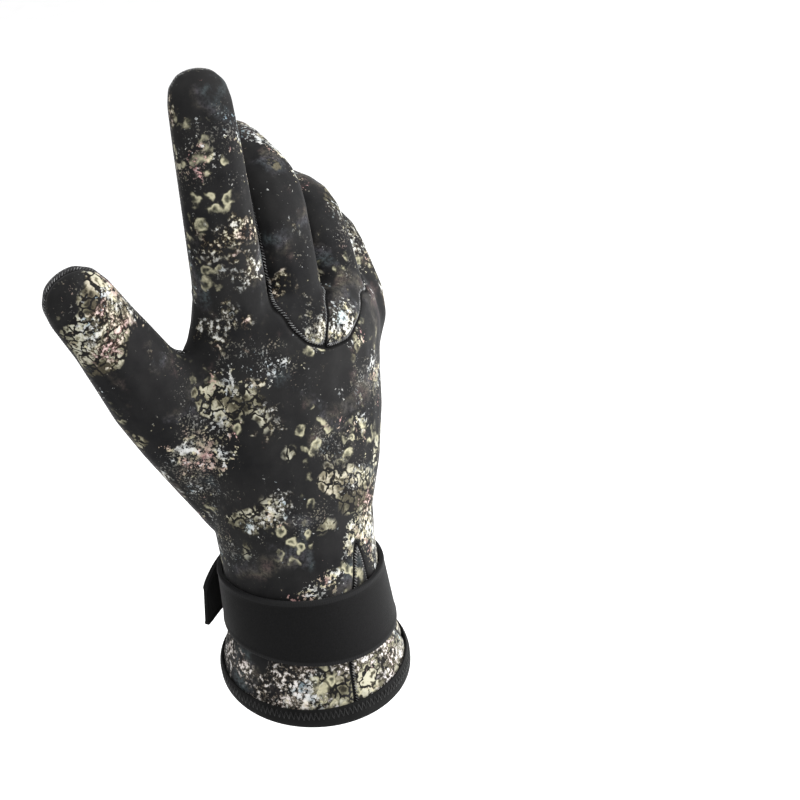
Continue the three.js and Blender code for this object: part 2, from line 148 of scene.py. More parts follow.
def smooth_by_angle(thing: bpy.types.Object, degrees: float) -> None:
    """Shades an object smooth, apart from edges sharper than the angle.

    Args:
        thing: The object.
        degrees: The angle.
    """
    select_only(thing)
    bpy.ops.object.shade_smooth_by_angle(angle=math.radians(degrees))


def put_attribute(thing: bpy.types.Object, name: str, values: np.ndarray) -> None:
    """Stores a number or a vector at each point of a mesh.

    Args:
        thing: The mesh object.
        name: The attribute's name.
        values: One row for each point.
    """
    kind, key = ("FLOAT", "value") if values.ndim == 1 else ("FLOAT_VECTOR", "vector")
    attribute = thing.data.attributes.new(name, kind, "POINT")
    attribute.data.foreach_set(key, values.astype(np.float32).ravel())


def place_piece(thing: bpy.types.Object, slot: Slot, material: bpy.types.Material, *nodes: str) -> None:
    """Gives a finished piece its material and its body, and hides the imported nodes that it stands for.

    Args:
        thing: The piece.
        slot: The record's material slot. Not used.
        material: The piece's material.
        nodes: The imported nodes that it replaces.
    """
    thing.data.materials.clear()
    thing.data.materials.append(material)
    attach(thing, BODY)
    if nodes:
        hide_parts(*nodes)
    log.info("%s: %d faces", thing.name, len(thing.data.polygons))


class Socket:
    """A shader socket that adds Math nodes when it is used in an expression."""

    def __init__(self, shader: "Shader", link: bpy.types.NodeSocket) -> None:
        """Keeps the shader and the socket.

        Args:
            shader: The shader that the socket belongs to.
            link: The node's output socket.
        """
        self.shader = shader
        self.link = link

    def math(self, operation: str, *others: "Socket | float") -> "Socket":
        """Adds a Math node that starts with this socket.

        Args:
            operation: The Math node's operation.
            others: Its other values.

        Returns:
            The node's result.
        """
        return self.shader.node("ShaderNodeMath", {"operation": operation}, dict(enumerate((self, *others))))

    def __add__(self, other: "Socket | float") -> "Socket":
        """Adds."""
        return self.math("ADD", other)

    def __radd__(self, other: float) -> "Socket":
        """Adds to a number."""
        return self.math("ADD", other)

    def __sub__(self, other: "Socket | float") -> "Socket":
        """Subtracts."""
        return self.math("SUBTRACT", other)

    def __rsub__(self, other: float) -> "Socket":
        """Subtracts from a number."""
        return self.shader.node("ShaderNodeMath", {"operation": "SUBTRACT"}, {0: other, 1: self})

    def __mul__(self, other: "Socket | float") -> "Socket":
        """Multiplies."""
        return self.math("MULTIPLY", other)

    def __rmul__(self, other: float) -> "Socket":
        """Multiplies a number."""
        return self.math("MULTIPLY", other)

    def step(self, low: float, high: float) -> "Socket":
        """Rises smoothly from 0 at low to 1 at high, or falls where high is the smaller.

        Args:
            low: Where the result is 0.
            high: Where the result is 1.

        Returns:
            The smooth step.
        """
        ends = (low, high, 0.0, 1.0) if low < high else (high, low, 1.0, 0.0)
        values = {"Value": self, **dict(zip(("From Min", "From Max", "To Min", "To Max"), ends))}
        return self.shader.node("ShaderNodeMapRange", {"interpolation_type": "SMOOTHSTEP"}, values, "Result")


class Shader:
    """A material's node tree, with one method that adds any node."""

    def __init__(self, name: str) -> None:
        """Starts a material with its Principled shader.

        Args:
            name: The material's name.
        """
        self.material = bpy.data.materials.new(name)
        self.material.use_nodes = True
        self.tree = self.material.node_tree
        self.surface = self.tree.nodes["Principled BSDF"]

    def node(self, kind: str, settings: dict, values: dict, output: str | int = 0) -> Socket:
        """Adds a node.

        Args:
            kind: The node's type.
            settings: Its settings, which are set first. A ramp's stops are given as "stops".
            values: The values or links of its sockets, by name or number.
            output: Which of its outputs is used.

        Returns:
            The output, ready for use in an expression.
        """
        made = self.tree.nodes.new(kind)
        for key, value in settings.items():
            if key == "stops":
                self.set_stops(made.color_ramp, value)
            else:
                setattr(made, key, value)
        for key, value in values.items():
            self.feed(made.inputs[key], value)
        return Socket(self, made.outputs[output])

    @staticmethod
    def set_stops(ramp: bpy.types.ColorRamp, stops: list) -> None:
        """Sets a ramp's stops.

        Args:
            ramp: The ramp.
            stops: Each stop's place and colour.
        """
        while len(ramp.elements) < len(stops):
            ramp.elements.new(1.0)
        for element, (place, colour) in zip(ramp.elements, stops):
            element.position = place
            element.color = (*colour, 1.0)

    def feed(self, target: bpy.types.NodeSocket, value: "Socket | float | tuple") -> None:
        """Links or sets an input socket.

        Args:
            target: The input socket.
            value: A socket, a number, a colour or a vector.
        """
        if isinstance(value, Socket):
            self.tree.links.new(value.link, target)
        elif target.type == "RGBA":
            target.default_value = (*value, 1.0)
        else:
            target.default_value = value

    def place(self) -> Socket:
        """The surface's place in the glove's frame, in millimetres."""
        coordinates = self.node("ShaderNodeTexCoord", {}, {}, "Object")
        return self.scaled(coordinates, 1 / MM)

    def scaled(self, vector: Socket, factor: float) -> Socket:
        """A vector times a number."""
        return self.node("ShaderNodeVectorMath", {"operation": "SCALE"}, {"Vector": vector, "Scale": factor})

    def moved(self, vector: Socket, step: "Socket | tuple") -> Socket:
        """A vector plus a vector."""
        return self.node("ShaderNodeVectorMath", {"operation": "ADD"}, {0: vector, 1: step})

    def attribute(self, name: str, output: str = "Fac") -> Socket:
        """A value stored at the mesh's points."""
        return self.node("ShaderNodeAttribute", {"attribute_name": name}, {}, output)

    def noise(
        self, place: Socket, size: float, detail: float = 2.0, rough: float = 0.5, output: str = "Fac"
    ) -> Socket:
        """Noise whose lumps are about the given size.

        Args:
            place: The place it is read at, in millimetres.
            size: The lumps' size, in millimetres.
            detail: How many finer layers it has.
            rough: How strong these are.
            output: Its output.

        Returns:
            The noise.
        """
        values = {"Vector": place, "Scale": 1 / size, "Detail": detail, "Roughness": rough}
        return self.node("ShaderNodeTexNoise", {}, values, output)

    def swayed(
        self, place: Socket, size: float, reach: float, detail: float = 2.0, rough: float = 0.5
    ) -> Socket:
        """The place moved aside by noise, so that what is read there gets a broken outline.

        Args:
            place: The place, in millimetres.
            size: How far apart the bends are.
            reach: How far they reach.
            detail: How many finer layers they have.
            rough: How strong these are.

        Returns:
            The moved place.
        """
        drift = self.moved(self.noise(place, size, detail, rough, "Color"), (-0.5, -0.5, -0.5))
        return self.moved(place, self.scaled(drift, reach))

    def cells(self, place: Socket, size: float, feature: str, **values: float) -> Socket:
        """Cells of the given size.

        Args:
            place: The place they are read at, in millimetres.
            size: The cells' size, in millimetres.
            feature: Which distance is measured.
            values: The node's other values.

        Returns:
            The distance.
        """
        sockets = {"Vector": place, "Scale": 1 / size, **{key.capitalize(): v for key, v in values.items()}}
        return self.node("ShaderNodeTexVoronoi", {"feature": feature}, sockets, "Distance")

    def length(self, vector: Socket) -> Socket:
        """A vector's length."""
        return self.node("ShaderNodeVectorMath", {"operation": "LENGTH"}, {0: vector}, "Value")

    def part(self, vector: Socket, axis: str) -> Socket:
        """One of a vector's three numbers."""
        return self.node("ShaderNodeSeparateXYZ", {}, {0: vector}, axis)

    def ramp(self, value: Socket, *stops: tuple) -> Socket:
        """A colour read from stops of a place and a colour."""
        return self.node("ShaderNodeValToRGB", {"stops": list(stops)}, {"Fac": value}, "Color")

    def blended(
        self, mask: Socket, below: "Socket | tuple", above: "Socket | tuple", mode: str = "MIX"
    ) -> Socket:
        """Lays one colour over another.

        Args:
            mask: Where the upper colour shows.
            below: The lower colour.
            above: The upper colour.
            mode: How the two are blended.

        Returns:
            The blended colour.
        """
        return self.node(
            "ShaderNodeMix", {"data_type": "RGBA", "blend_type": mode}, {0: mask, 6: below, 7: above}, 2
        )

    def bump(self, height: Socket, depth_mm: float, strength: float, below: "Socket | None" = None) -> Socket:
        """Turns heights into a normal.

        Args:
            height: The heights, from 0 to 1.
            depth_mm: What a height of 1 stands for, in millimetres.
            strength: How much of it is used.
            below: A coarser normal that this one is laid on.

        Returns:
            The normal.
        """
        values = {"Height": height, "Distance": depth_mm * MM, "Strength": strength}
        if below is not None:
            values["Normal"] = below
        return self.node("ShaderNodeBump", {}, values, "Normal")

    def finish(
        self, colour: "Socket | tuple", rough: "Socket | float", normal: "Socket | None", **fixed: float
    ) -> None:
        """Feeds the Principled shader.

        Args:
            colour: The base colour.
            rough: The roughness.
            normal: The normal, where it varies.
            fixed: Other sockets that are the same all over, such as Sheen_Weight.
        """
        self.feed(self.surface.inputs["Base Color"], colour)
        self.feed(self.surface.inputs["Roughness"], rough)
        if normal is not None:
            self.feed(self.surface.inputs["Normal"], normal)
        for key, value in fixed.items():
            self.surface.inputs[key.replace("_", " ")].default_value = value


class Layer(Enum):
    """How far each layer of the print moves its noise aside, in millimetres, so that no two are alike."""

    HUE = (91.0, 17.0, 43.0)
    HAZE = (7.0, -31.0, 12.0)
    HAZE_HUE = (-12.0, 66.0, 8.0)
    COLONY = (22.0, 5.0, 9.0)
    COLONY_JOINT = (4.0, 9.0, 2.0)
    PEBBLE = (-44.0, 12.0, 71.0)
    CRUST = (3.0, 58.0, -19.0)
    CRUST_FOLD = (8.0, 2.0, 4.0)
    CLOUD = (63.0, -8.0, 27.0)
    DUST = (-20.0, 40.0, 5.0)
    STRAY = (9.0, 1.0, 4.0)
    COARSE = (5.0, 3.0, 8.0)


GROUND = ((0.35, (0.005, 0.005, 0.0055)), (0.65, (0.012, 0.0118, 0.0118)))
HUES = (
    (0.34, (0.24, 0.32, 0.36)),
    (0.42, (0.43, 0.45, 0.45)),
    (0.50, (0.46, 0.46, 0.43)),
    (0.555, (0.44, 0.41, 0.27)),
    (0.61, (0.44, 0.36, 0.28)),
    (0.68, (0.46, 0.27, 0.26)),
)
HAZE = (
    (0.36, (0.056, 0.070, 0.074)),
    (0.46, (0.056, 0.053, 0.060)),
    (0.54, (0.064, 0.058, 0.046)),
    (0.62, (0.080, 0.056, 0.054)),
)
LOBES = (
    (0.02, (0.006, 0.0055, 0.005)),
    (0.28, (0.052, 0.047, 0.032)),
    (0.60, (0.165, 0.155, 0.108)),
    (1.0, (0.40, 0.385, 0.305)),
)
PEBBLES = ((0.20, (0.030, 0.030, 0.022)), (0.5, (0.115, 0.112, 0.074)), (0.95, (0.36, 0.34, 0.235)))
CRUST = (
    (0.22, (0.006, 0.0055, 0.0055)),
    (0.42, (0.048, 0.041, 0.033)),
    (0.62, (0.19, 0.175, 0.145)),
    (0.95, (0.50, 0.49, 0.46)),
)
PALE_CUFF = (0.60, 0.55, 0.55)
DULL_CRUMB = (0.12, 0.115, 0.10)
BRIGHT_CRUMB = (0.45, 0.45, 0.44)


@dataclass(frozen=True)
class PrintedNeoprene:
    """Nylon-faced neoprene, charcoal, printed with a reef-like camouflage of no particular reef.

    Sizes are in millimetres. An edge gives where a motif's patches start and where they are full, on a noise
    that lies mostly between 0.3 and 0.7: the higher it is, the less of the glove the motif covers.
    """

    drift_mm: float = 9.0
    drift_reach_mm: float = 7.0
    ground_mm: float = 22.0
    haze_mm: float = 19.0
    haze_hue_mm: float = 18.0
    haze_edge: tuple[float, float] = (0.53, 0.68)
    patch_mm: float = 32.0
    colony_cell_mm: float = 4.0
    colony_sway_mm: tuple[float, float] = (3.6, 5.5)
    colony_edge: tuple[float, float] = (0.56, 0.585)
    pebble_mm: float = 5.4
    pebble_sway_mm: tuple[float, float] = (4.6, 5.0)
    pebble_edge: tuple[float, float] = (0.57, 0.64)
    crust_mm: float = 4.0
    crust_edge: tuple[float, float] = (0.565, 0.64)
    pale_cuff_mm: float = 34.0
    fine_crumb_mm: float = 0.85
    crumb_mm: float = 1.6
    cloud_mm: float = 24.0
    fine_edge: tuple[float, float] = (0.48, 0.63)
    coarse_edge: tuple[float, float] = (0.51, 0.68)
    dust_mm: float = 26.0
    dust_edge: tuple[float, float] = (0.44, 0.68)
    knit_mm: float = 0.42
    knit_depth_mm: float = 0.05

    def material(self) -> bpy.types.Material:
        """Makes the material.

        Returns:
            The material.
        """
        shader = Shader("printed_neoprene")
        place = shader.place()
        bent = shader.swayed(place, self.drift_mm, self.drift_reach_mm, 3.0, 0.55)
        colour = self.ground(shader, place)
        colour = self.haze(shader, place, colour)
        colour = self.colonies(shader, place, bent, colour)
        colour = self.pebbles(shader, place, colour)
        colour = self.crust(shader, place, bent, colour)
        colour = self.crumbs(shader, place, colour)
        colour = shader.blended(shader.attribute("seam_mm").step(*SEAM_EDGE_MM), SEAM_BLACK, colour)
        normal = shader.bump(self.knit(shader, place), self.knit_depth_mm, 0.5)
        rough = 0.72 + shader.noise(place, 6.0) * 0.16
        shader.finish(colour, rough, normal, Sheen_Weight=0.05, Sheen_Roughness=0.35, Specular_IOR_Level=0.08)
        return shader.material

    @staticmethod
    def patch(shader: Shader, place: Socket, layer: Layer, size: float) -> Socket:
        """Broad patches with frayed outlines, which say where a motif shows.

        Args:
            shader: The material's shader.
            place: The place on the glove.
            layer: What sets these patches apart from the others.
            size: Their size.

        Returns:
            The patches, mostly between 0.3 and 0.7.
        """
        return shader.noise(shader.moved(place, layer.value), size, 6.0, 0.58)

    def ground(self, shader: Shader, place: Socket) -> Socket:
        """The charcoal that the print lies on.

        Args:
            shader: The material's shader.
            place: The place on the glove.

        Returns:
            The colour.
        """
        return shader.ramp(shader.noise(place, self.ground_mm, 5.0, 0.65), *GROUND)

    @staticmethod
    def tint(shader: Shader, place: Socket, size: float) -> Socket:
        """Hues that wander from place to place: blue-grey, grey, cream, olive, tan and rose.

        Args:
            shader: The material's shader.
            place: The place on the glove.
            size: How far they wander.

        Returns:
            The colour.
        """
        return shader.ramp(shader.noise(shader.moved(place, Layer.HUE.value), size), *HUES)

    def haze(self, shader: Shader, place: Socket, colour: Socket) -> Socket:
        """Soft smudges of violet, teal and brown.

        Args:
            shader: The material's shader.
            place: The place on the glove.
            colour: The colour below.

        Returns:
            The colour.
        """
        mask = self.patch(shader, place, Layer.HAZE, self.haze_mm).step(*self.haze_edge)
        hue = shader.noise(shader.moved(place, Layer.HAZE_HUE.value), self.haze_hue_mm)
        shade = shader.ramp(hue, *HAZE)
        grain = shader.noise(place, 1.3, 5.0, 0.7).step(0.34, 0.62)
        return shader.blended(mask * (grain * 0.75 + 0.05), colour, shade)

    def colonies(self, shader: Shader, place: Socket, bent: Socket, colour: Socket) -> Socket:
        """Mats of swollen lobes with dark gaps between them and a dimple in each.

        Args:
            shader: The material's shader.
            place: The place on the glove.
            bent: The place with a drift, for broken outlines.
            colour: The colour below.

        Returns:
            The colour.
        """
        mat = shader.noise(shader.moved(bent, Layer.COLONY.value), self.patch_mm * 1.2)
        laid = shader.swayed(place, *self.colony_sway_mm)
        lobe = shader.cells(laid, self.colony_cell_mm, "SMOOTH_F1", smoothness=0.06)
        edge = shader.cells(laid, self.colony_cell_mm, "DISTANCE_TO_EDGE")
        joint = shader.noise(shader.moved(place, Layer.COLONY_JOINT.value), self.colony_cell_mm * 1.1, 1.0)
        joined = joint.step(0.60, 0.67)
        body = (edge + joined * 0.16).step(0.07, 0.15) * lobe.step(0.78, 0.60)
        rim = lobe.step(0.10, 0.36) * 0.74 + 0.26
        speck = shader.noise(place, 0.9, 5.0, 0.7) * 0.9 + 0.12
        fade = shader.noise(place, 10.0, 3.0).step(0.34, 0.66) * 0.75 + 0.25
        shade = shader.ramp(body * rim * speck * fade * 1.9, *LOBES)
        hued = shader.blended(0.4 * speck, shade, self.tint(shader, place, 16.0), "MULTIPLY")
        return shader.blended(mat.step(*self.colony_edge) * (body * 0.35 + 0.65), colour, hued)

    def pebbles(self, shader: Shader, place: Socket, colour: Socket) -> Socket:
        """Loose chains of soft blobs in dull olive and grey, pale at the rim and darker in the middle.

        Args:
            shader: The material's shader.
            place: The place on the glove.
            colour: The colour below.

        Returns:
            The colour.
        """
        group = self.patch(shader, place, Layer.PEBBLE, self.patch_mm * 0.9)
        laid = shader.swayed(place, *self.pebble_sway_mm)
        blob = shader.cells(laid, self.pebble_mm, "SMOOTH_F1", smoothness=0.42)
        speck = shader.noise(place, 1.0, 5.0, 0.72)
        rim = blob.step(0.08, 0.34) * blob.step(0.50, 0.36)
        shade = shader.ramp(rim * 0.7 + speck * 0.55 - 0.05, *PEBBLES)
        mask = blob.step(0.52, 0.34) * group.step(*self.pebble_edge)
        return shader.blended(mask * 0.9, colour, shade)

    def crust(self, shader: Shader, place: Socket, bent: Socket, colour: Socket) -> Socket:
        """Rough crust: pale grains piled into lumps, with dark clefts between them.

        Args:
            shader: The material's shader.
            place: The place on the glove.
            bent: The place with a drift, for broken outlines.
            colour: The colour below.

        Returns:
            The colour.
        """
        height = shader.part(place, "Z")
        low = height.step(self.pale_cuff_mm, self.pale_cuff_mm * 0.35) * 0.16
        patch = self.patch(shader, bent, Layer.CRUST, self.patch_mm) + low
        lumps = shader.noise(bent, self.crust_mm, 4.0, 0.6)
        fleck = shader.noise(place, self.crust_mm * 0.42, 4.0, 0.62)
        folds = shader.noise(shader.moved(bent, Layer.CRUST_FOLD.value), self.crust_mm * 1.4, 5.0, 0.6)
        cleft = (folds - 0.5).math("ABSOLUTE").step(0.0, 0.06)
        light = (fleck - 0.5) * 4.2 + (lumps - 0.5) * 1.8 + cleft * 0.22 + 0.14 + (patch - 0.58) * 2.6
        pale = shader.ramp(light, *CRUST)
        cuff = height.step(self.pale_cuff_mm, self.pale_cuff_mm * 0.5)
        hue = shader.blended(cuff * 0.75, self.tint(shader, place, 13.0), PALE_CUFF)
        toned = shader.blended(0.8 * light.step(1.2, 0.6), pale, hue, "MULTIPLY")
        toned = shader.blended(light.step(0.62, 0.95) * 0.55, toned, hue)
        mask = patch.step(*self.crust_edge) * (light.step(0.02, 0.34) * 0.9 + 0.1)
        return shader.blended(mask, colour, toned)

    @staticmethod
    def flakes(shader: Shader, place: Socket, size: float, spread: Socket) -> Socket:
        """Ragged flakes that touch where they are dense and stand alone where they thin out.

        Args:
            shader: The material's shader.
            place: The place on the glove.
            size: The flakes' size.
            spread: How dense they are, from 0 to 1.

        Returns:
            Where the flakes are.
        """
        grain = shader.noise(place, size, 3.0, 0.62)
        return (grain - 0.72 + spread * 0.215).step(0.0, 0.045)

    def crumbs(self, shader: Shader, place: Socket, colour: Socket) -> Socket:
        """Clouds of fine and coarse flakes, some rose, some cream and some nearly white.

        Args:
            shader: The material's shader.
            place: The place on the glove.
            colour: The colour below.

        Returns:
            The colour.
        """
        cloud = self.patch(shader, place, Layer.CLOUD, self.cloud_mm)
        dust = self.patch(shader, place, Layer.DUST, self.dust_mm).step(*self.dust_edge)
        tint = self.tint(shader, place, 11.0)
        glow = shader.noise(place, 3.4, 3.0).step(0.40, 0.66)
        stray_place = shader.moved(place, Layer.STRAY.value)
        stray = self.flakes(shader, stray_place, self.fine_crumb_mm, dust)
        colour = shader.blended(stray * 0.5, colour, shader.blended(glow * 0.5, DULL_CRUMB, tint))
        fine = self.flakes(shader, place, self.fine_crumb_mm * 1.6, cloud.step(*self.fine_edge))
        colour = shader.blended(fine * (glow * 0.6 + 0.3), colour, tint)
        coarse_place = shader.moved(place, Layer.COARSE.value)
        coarse = self.flakes(shader, coarse_place, self.crumb_mm * 1.7, cloud.step(*self.coarse_edge))
        bright = shader.blended(glow, tint, BRIGHT_CRUMB)
        return shader.blended(coarse * (glow * 0.6 + 0.35), colour, bright)

    def knit(self, shader: Shader, place: Socket) -> Socket:
        """The fine rows of the nylon jersey.

        Args:
            shader: The material's shader.
            place: The place on the glove.

        Returns:
            The heights.
        """
        weave = shader.cells(place, self.knit_mm, "SMOOTH_F1", smoothness=0.5, randomness=0.55)
        return (1 - weave) * 0.7 + shader.noise(place, 0.9, 3.0) * 0.5


@dataclass(frozen=True)
class GripNeoprene:
    """Black neoprene with small rubber dots in groups of six sides. The dots' pale grey is a painted
    highlight; their bump and lower roughness are real.

    The dots' radius and the groups' edge are shares of their pitch.
    """

    dot_mm: float = 1.78
    group_mm: float = 10.8
    dot_radius: float = 0.25
    dot_height_mm: float = 0.28
    # colour of the painted highlight on the dots
    dot_highlight_colour: tuple = (0.21, 0.21, 0.215)
    cloth: tuple = ((0.3, (0.006, 0.006, 0.0065)), (0.7, (0.013, 0.013, 0.014)))
    group_edge: tuple[float, float] = (0.435, 0.43)
    bare_seam_mm: tuple[float, float] = (2.0, 2.6)

    def material(self) -> bpy.types.Material:
        """Makes the material.

        Returns:
            The material.
        """
        shader = Shader("grip_neoprene")
        place = shader.place()
        laid = shader.attribute("grip_place", "Vector")
        dots = self.nearest(shader, laid, self.dot_mm)
        middle = shader.moved(laid, shader.scaled(dots, -self.dot_mm))
        groups = self.nearest(shader, self.turned(shader, middle), self.group_mm)
        inside = self.rim(shader, groups).step(*self.group_edge)
        seam = shader.attribute("seam_mm")
        disc = shader.length(dots).step(self.dot_radius * 1.15, self.dot_radius * 0.7)
        dot = disc * inside * seam.step(*self.bare_seam_mm)
        # painted highlight on the dots, stronger in some places than in others at random
        uneven_highlight = shader.noise(place, 9.0, 3.0) * 0.5 + 0.45
        cloth = shader.ramp(shader.noise(place, 1.1, 3.0), *self.cloth)
        colour = shader.blended(dot * uneven_highlight, cloth, self.dot_highlight_colour)
        colour = shader.blended(seam.step(*SEAM_EDGE_MM), SEAM_BLACK, colour)
        fine = shader.bump(shader.noise(place, 0.5), 0.05, 0.4)
        normal = shader.bump(dot, self.dot_height_mm, 0.9, fine)
        rough = 0.74 - dot * 0.26
        shader.finish(colour, rough, normal, Sheen_Weight=0.06, Sheen_Roughness=0.5, Specular_IOR_Level=0.15)
        return shader.material

    @staticmethod
    def nearest(shader: Shader, laid: Socket, pitch: float) -> Socket:
        """The way to the nearest point of a lattice with six neighbours a point, as a share of its pitch.

        Args:
            shader: The material's shader.
            laid: The place on the flat cloth, in millimetres.
            pitch: The lattice's pitch.

        Returns:
            The vector from the nearest point.
        """
        half = (0.5, math.sqrt(3) / 2, 0.0)
        flat = shader.scaled(laid, 1 / pitch)
        ways = []
        for start in ((0.0, 0.0, 0.0), half):
            ends = {0: shader.moved(flat, start), 1: half, 2: tuple(-h for h in half)}
            wrapped = shader.node("ShaderNodeVectorMath", {"operation": "WRAP"}, ends)
            level = {0: wrapped, 1: (1, 1, 0)}
            ways.append(shader.node("ShaderNodeVectorMath", {"operation": "MULTIPLY"}, level))
        closer = shader.length(ways[0]).math("LESS_THAN", shader.length(ways[1]))
        return shader.node("ShaderNodeMix", {"data_type": "VECTOR"}, {0: closer, 4: ways[1], 5: ways[0]}, 1)

    @staticmethod
    def turned(shader: Shader, vector: Socket) -> Socket:
        """A vector with its first two numbers swapped."""
        parts = [shader.part(vector, axis) for axis in "YX"]
        return shader.node("ShaderNodeCombineXYZ", {}, dict(enumerate(parts)))

    @staticmethod
    def rim(shader: Shader, way: Socket) -> Socket:
        """How far a place lies from the middle of its group, 0.5 at the group's rim.

        Args:
            shader: The material's shader.
            way: The vector from the group's middle.

        Returns:
            The distance across the six sides.
        """
        size = shader.node("ShaderNodeVectorMath", {"operation": "ABSOLUTE"}, {0: way})
        across, along = (shader.part(size, axis) for axis in "XY")
        return across.math("MAXIMUM", across * 0.5 + along * (math.sqrt(3) / 2))


@dataclass(frozen=True)
class Webbing:
    """Brushed black webbing with a woven selvage; the selvages' lighter colour is a painted highlight."""

    shade: float = 0.0032
    fuzz_mm: float = 0.55
    fuzz_depth_mm: float = 0.16
    rib_mm: float = 0.9
    selvage_edge: tuple[float, float] = (0.86, 0.90)
    # colour of the painted highlight along both selvages
    selvage_highlight: tuple = (0.012, 0.012, 0.0125)

    def material(self) -> bpy.types.Material:
        """Makes the material.

        Returns:
            The material.
        """
        shader = Shader("strap_webbing")
        place = shader.place()
        fuzz = shader.noise(place, self.fuzz_mm, 6.0, 0.7)
        selvage = shader.attribute("across").math("ABSOLUTE").step(*self.selvage_edge)
        ribs = (shader.attribute("along") * (2 * math.pi / self.rib_mm)).math("SINE") * 0.5 + 0.5
        tone = self.shade
        colour = shader.ramp(fuzz, (0.3, (tone * 0.6,) * 3), (0.72, (tone * 1.9, tone * 1.9, tone * 2.0)))
        # painted highlight: both selvages are lightened towards a pale grey
        colour = shader.blended(selvage * 0.6, colour, self.selvage_highlight)
        height = fuzz * (1 - selvage) + ribs * selvage * 0.6
        normal = shader.bump(height, self.fuzz_depth_mm, 0.65)
        shader.finish(colour, 0.8, normal, Sheen_Weight=0.06, Sheen_Roughness=0.35, Specular_IOR_Level=0.07)
        return shader.material


@dataclass(frozen=True)
class PlainCloth:
    """Plain black cloth with a fine grain, for the hem band and the lining."""

    name: str
    grain_mm: float
    shade: float
    sheen: float
    grain_depth_mm: float = 0.1
    tone_mm: float = 7.0

    def material(self) -> bpy.types.Material:
        """Makes the material.

        Returns:
            The material.
        """
        shader = Shader(self.name)
        place = shader.place()
        grain = shader.cells(place, self.grain_mm, "SMOOTH_F1", smoothness=0.4, randomness=0.6)
        broad = shader.noise(place, self.tone_mm, 3.0)
        low, high = self.shade * 0.65, self.shade * 1.7
        colour = shader.ramp(broad, (0.3, (low,) * 3), (0.7, (high,) * 3))
        normal = shader.bump(1 - grain, self.grain_depth_mm, 0.6)
        shader.finish(
            colour, 0.74, normal, Sheen_Weight=self.sheen, Sheen_Roughness=0.4, Specular_IOR_Level=0.08
        )
        return shader.material


@dataclass(frozen=True)
class Thread:
    """Twisted polyester thread."""

    name: str
    shade: float
    twist_mm: float = 0.25
    twist_depth_mm: float = 0.05
    catch_mm: float = 2.4

    def material(self) -> bpy.types.Material:
        """Makes the material.

        Returns:
            The material.
        """
        shader = Shader(self.name)
        place = shader.place()
        twist = shader.noise(place, self.twist_mm)
        catch = shader.noise(place, self.catch_mm) * 0.8 + twist * 0.3
        low, high = self.shade * 0.25, self.shade * 2.2
        colour = shader.ramp(catch, (0.42, (low,) * 3), (0.68, (high,) * 3))
        normal = shader.bump(twist, self.twist_depth_mm, 0.5)
        shader.finish(colour, 0.5, normal, Sheen_Weight=0.04, Specular_IOR_Level=0.14)
        return shader.material


@dataclass
class Surface:
    """A surface of quads as arrays, in metres, with the sums that smoothing needs."""

    points: np.ndarray
    quads: np.ndarray
    edges: np.ndarray = field(init=False)
    count: np.ndarray = field(init=False)

    def __post_init__(self) -> None:
        """Finds the edges and how many meet at each point."""
        sides = np.concatenate([self.quads[:, [k, (k + 1) % 4]] for k in range(4)])
        self.edges = np.unique(np.sort(sides, axis=1), axis=0)
        self.count = np.bincount(self.edges.ravel(), minlength=len(self.points)).astype(float)

    def mean(self, values: np.ndarray) -> np.ndarray:
        """The mean of the values at each point's neighbours.

        Args:
            values: A number or a vector for each point.

        Returns:
            The means.
        """
        if values.ndim > 1:
            return np.stack([self.mean(column) for column in values.T], axis=1)
        a, b = self.edges.T
        total = np.bincount(a, values[b], len(values)) + np.bincount(b, values[a], len(values))
        return total / self.count

    def relaxed(
        self, values: np.ndarray, rounds: int, pull: float, push: float = 0.0, mask: float | np.ndarray = 1.0
    ) -> np.ndarray:
        """Smooths values over the surface. A push nearly as strong as the pull keeps broad forms.

        Args:
            values: A number or a vector for each point.
            rounds: How often it is done.
            pull: How far each point goes to its neighbours' mean.
            push: How far it goes back.
            mask: How much of it is done, for all points or at each.

        Returns:
            The smooth values.
        """
        for _ in range(rounds):
            values = values + pull * mask * (self.mean(values) - values)
            if push:
                values = values - push * mask * (self.mean(values) - values)
        return values

    def normals(self) -> np.ndarray:
        """Finds the normal at each point, outwards.

        Returns:
            The normals, one unit long.
        """
        corners = self.points[self.quads]
        facing = np.cross(corners[:, 2] - corners[:, 0], corners[:, 3] - corners[:, 1])
        total = np.zeros_like(self.points)
        for k in range(4):
            for axis in range(3):
                total[:, axis] += np.bincount(self.quads[:, k], facing[:, axis], len(self.points))
        return total / np.maximum(np.linalg.norm(total, axis=1, keepdims=True), 1e-12)


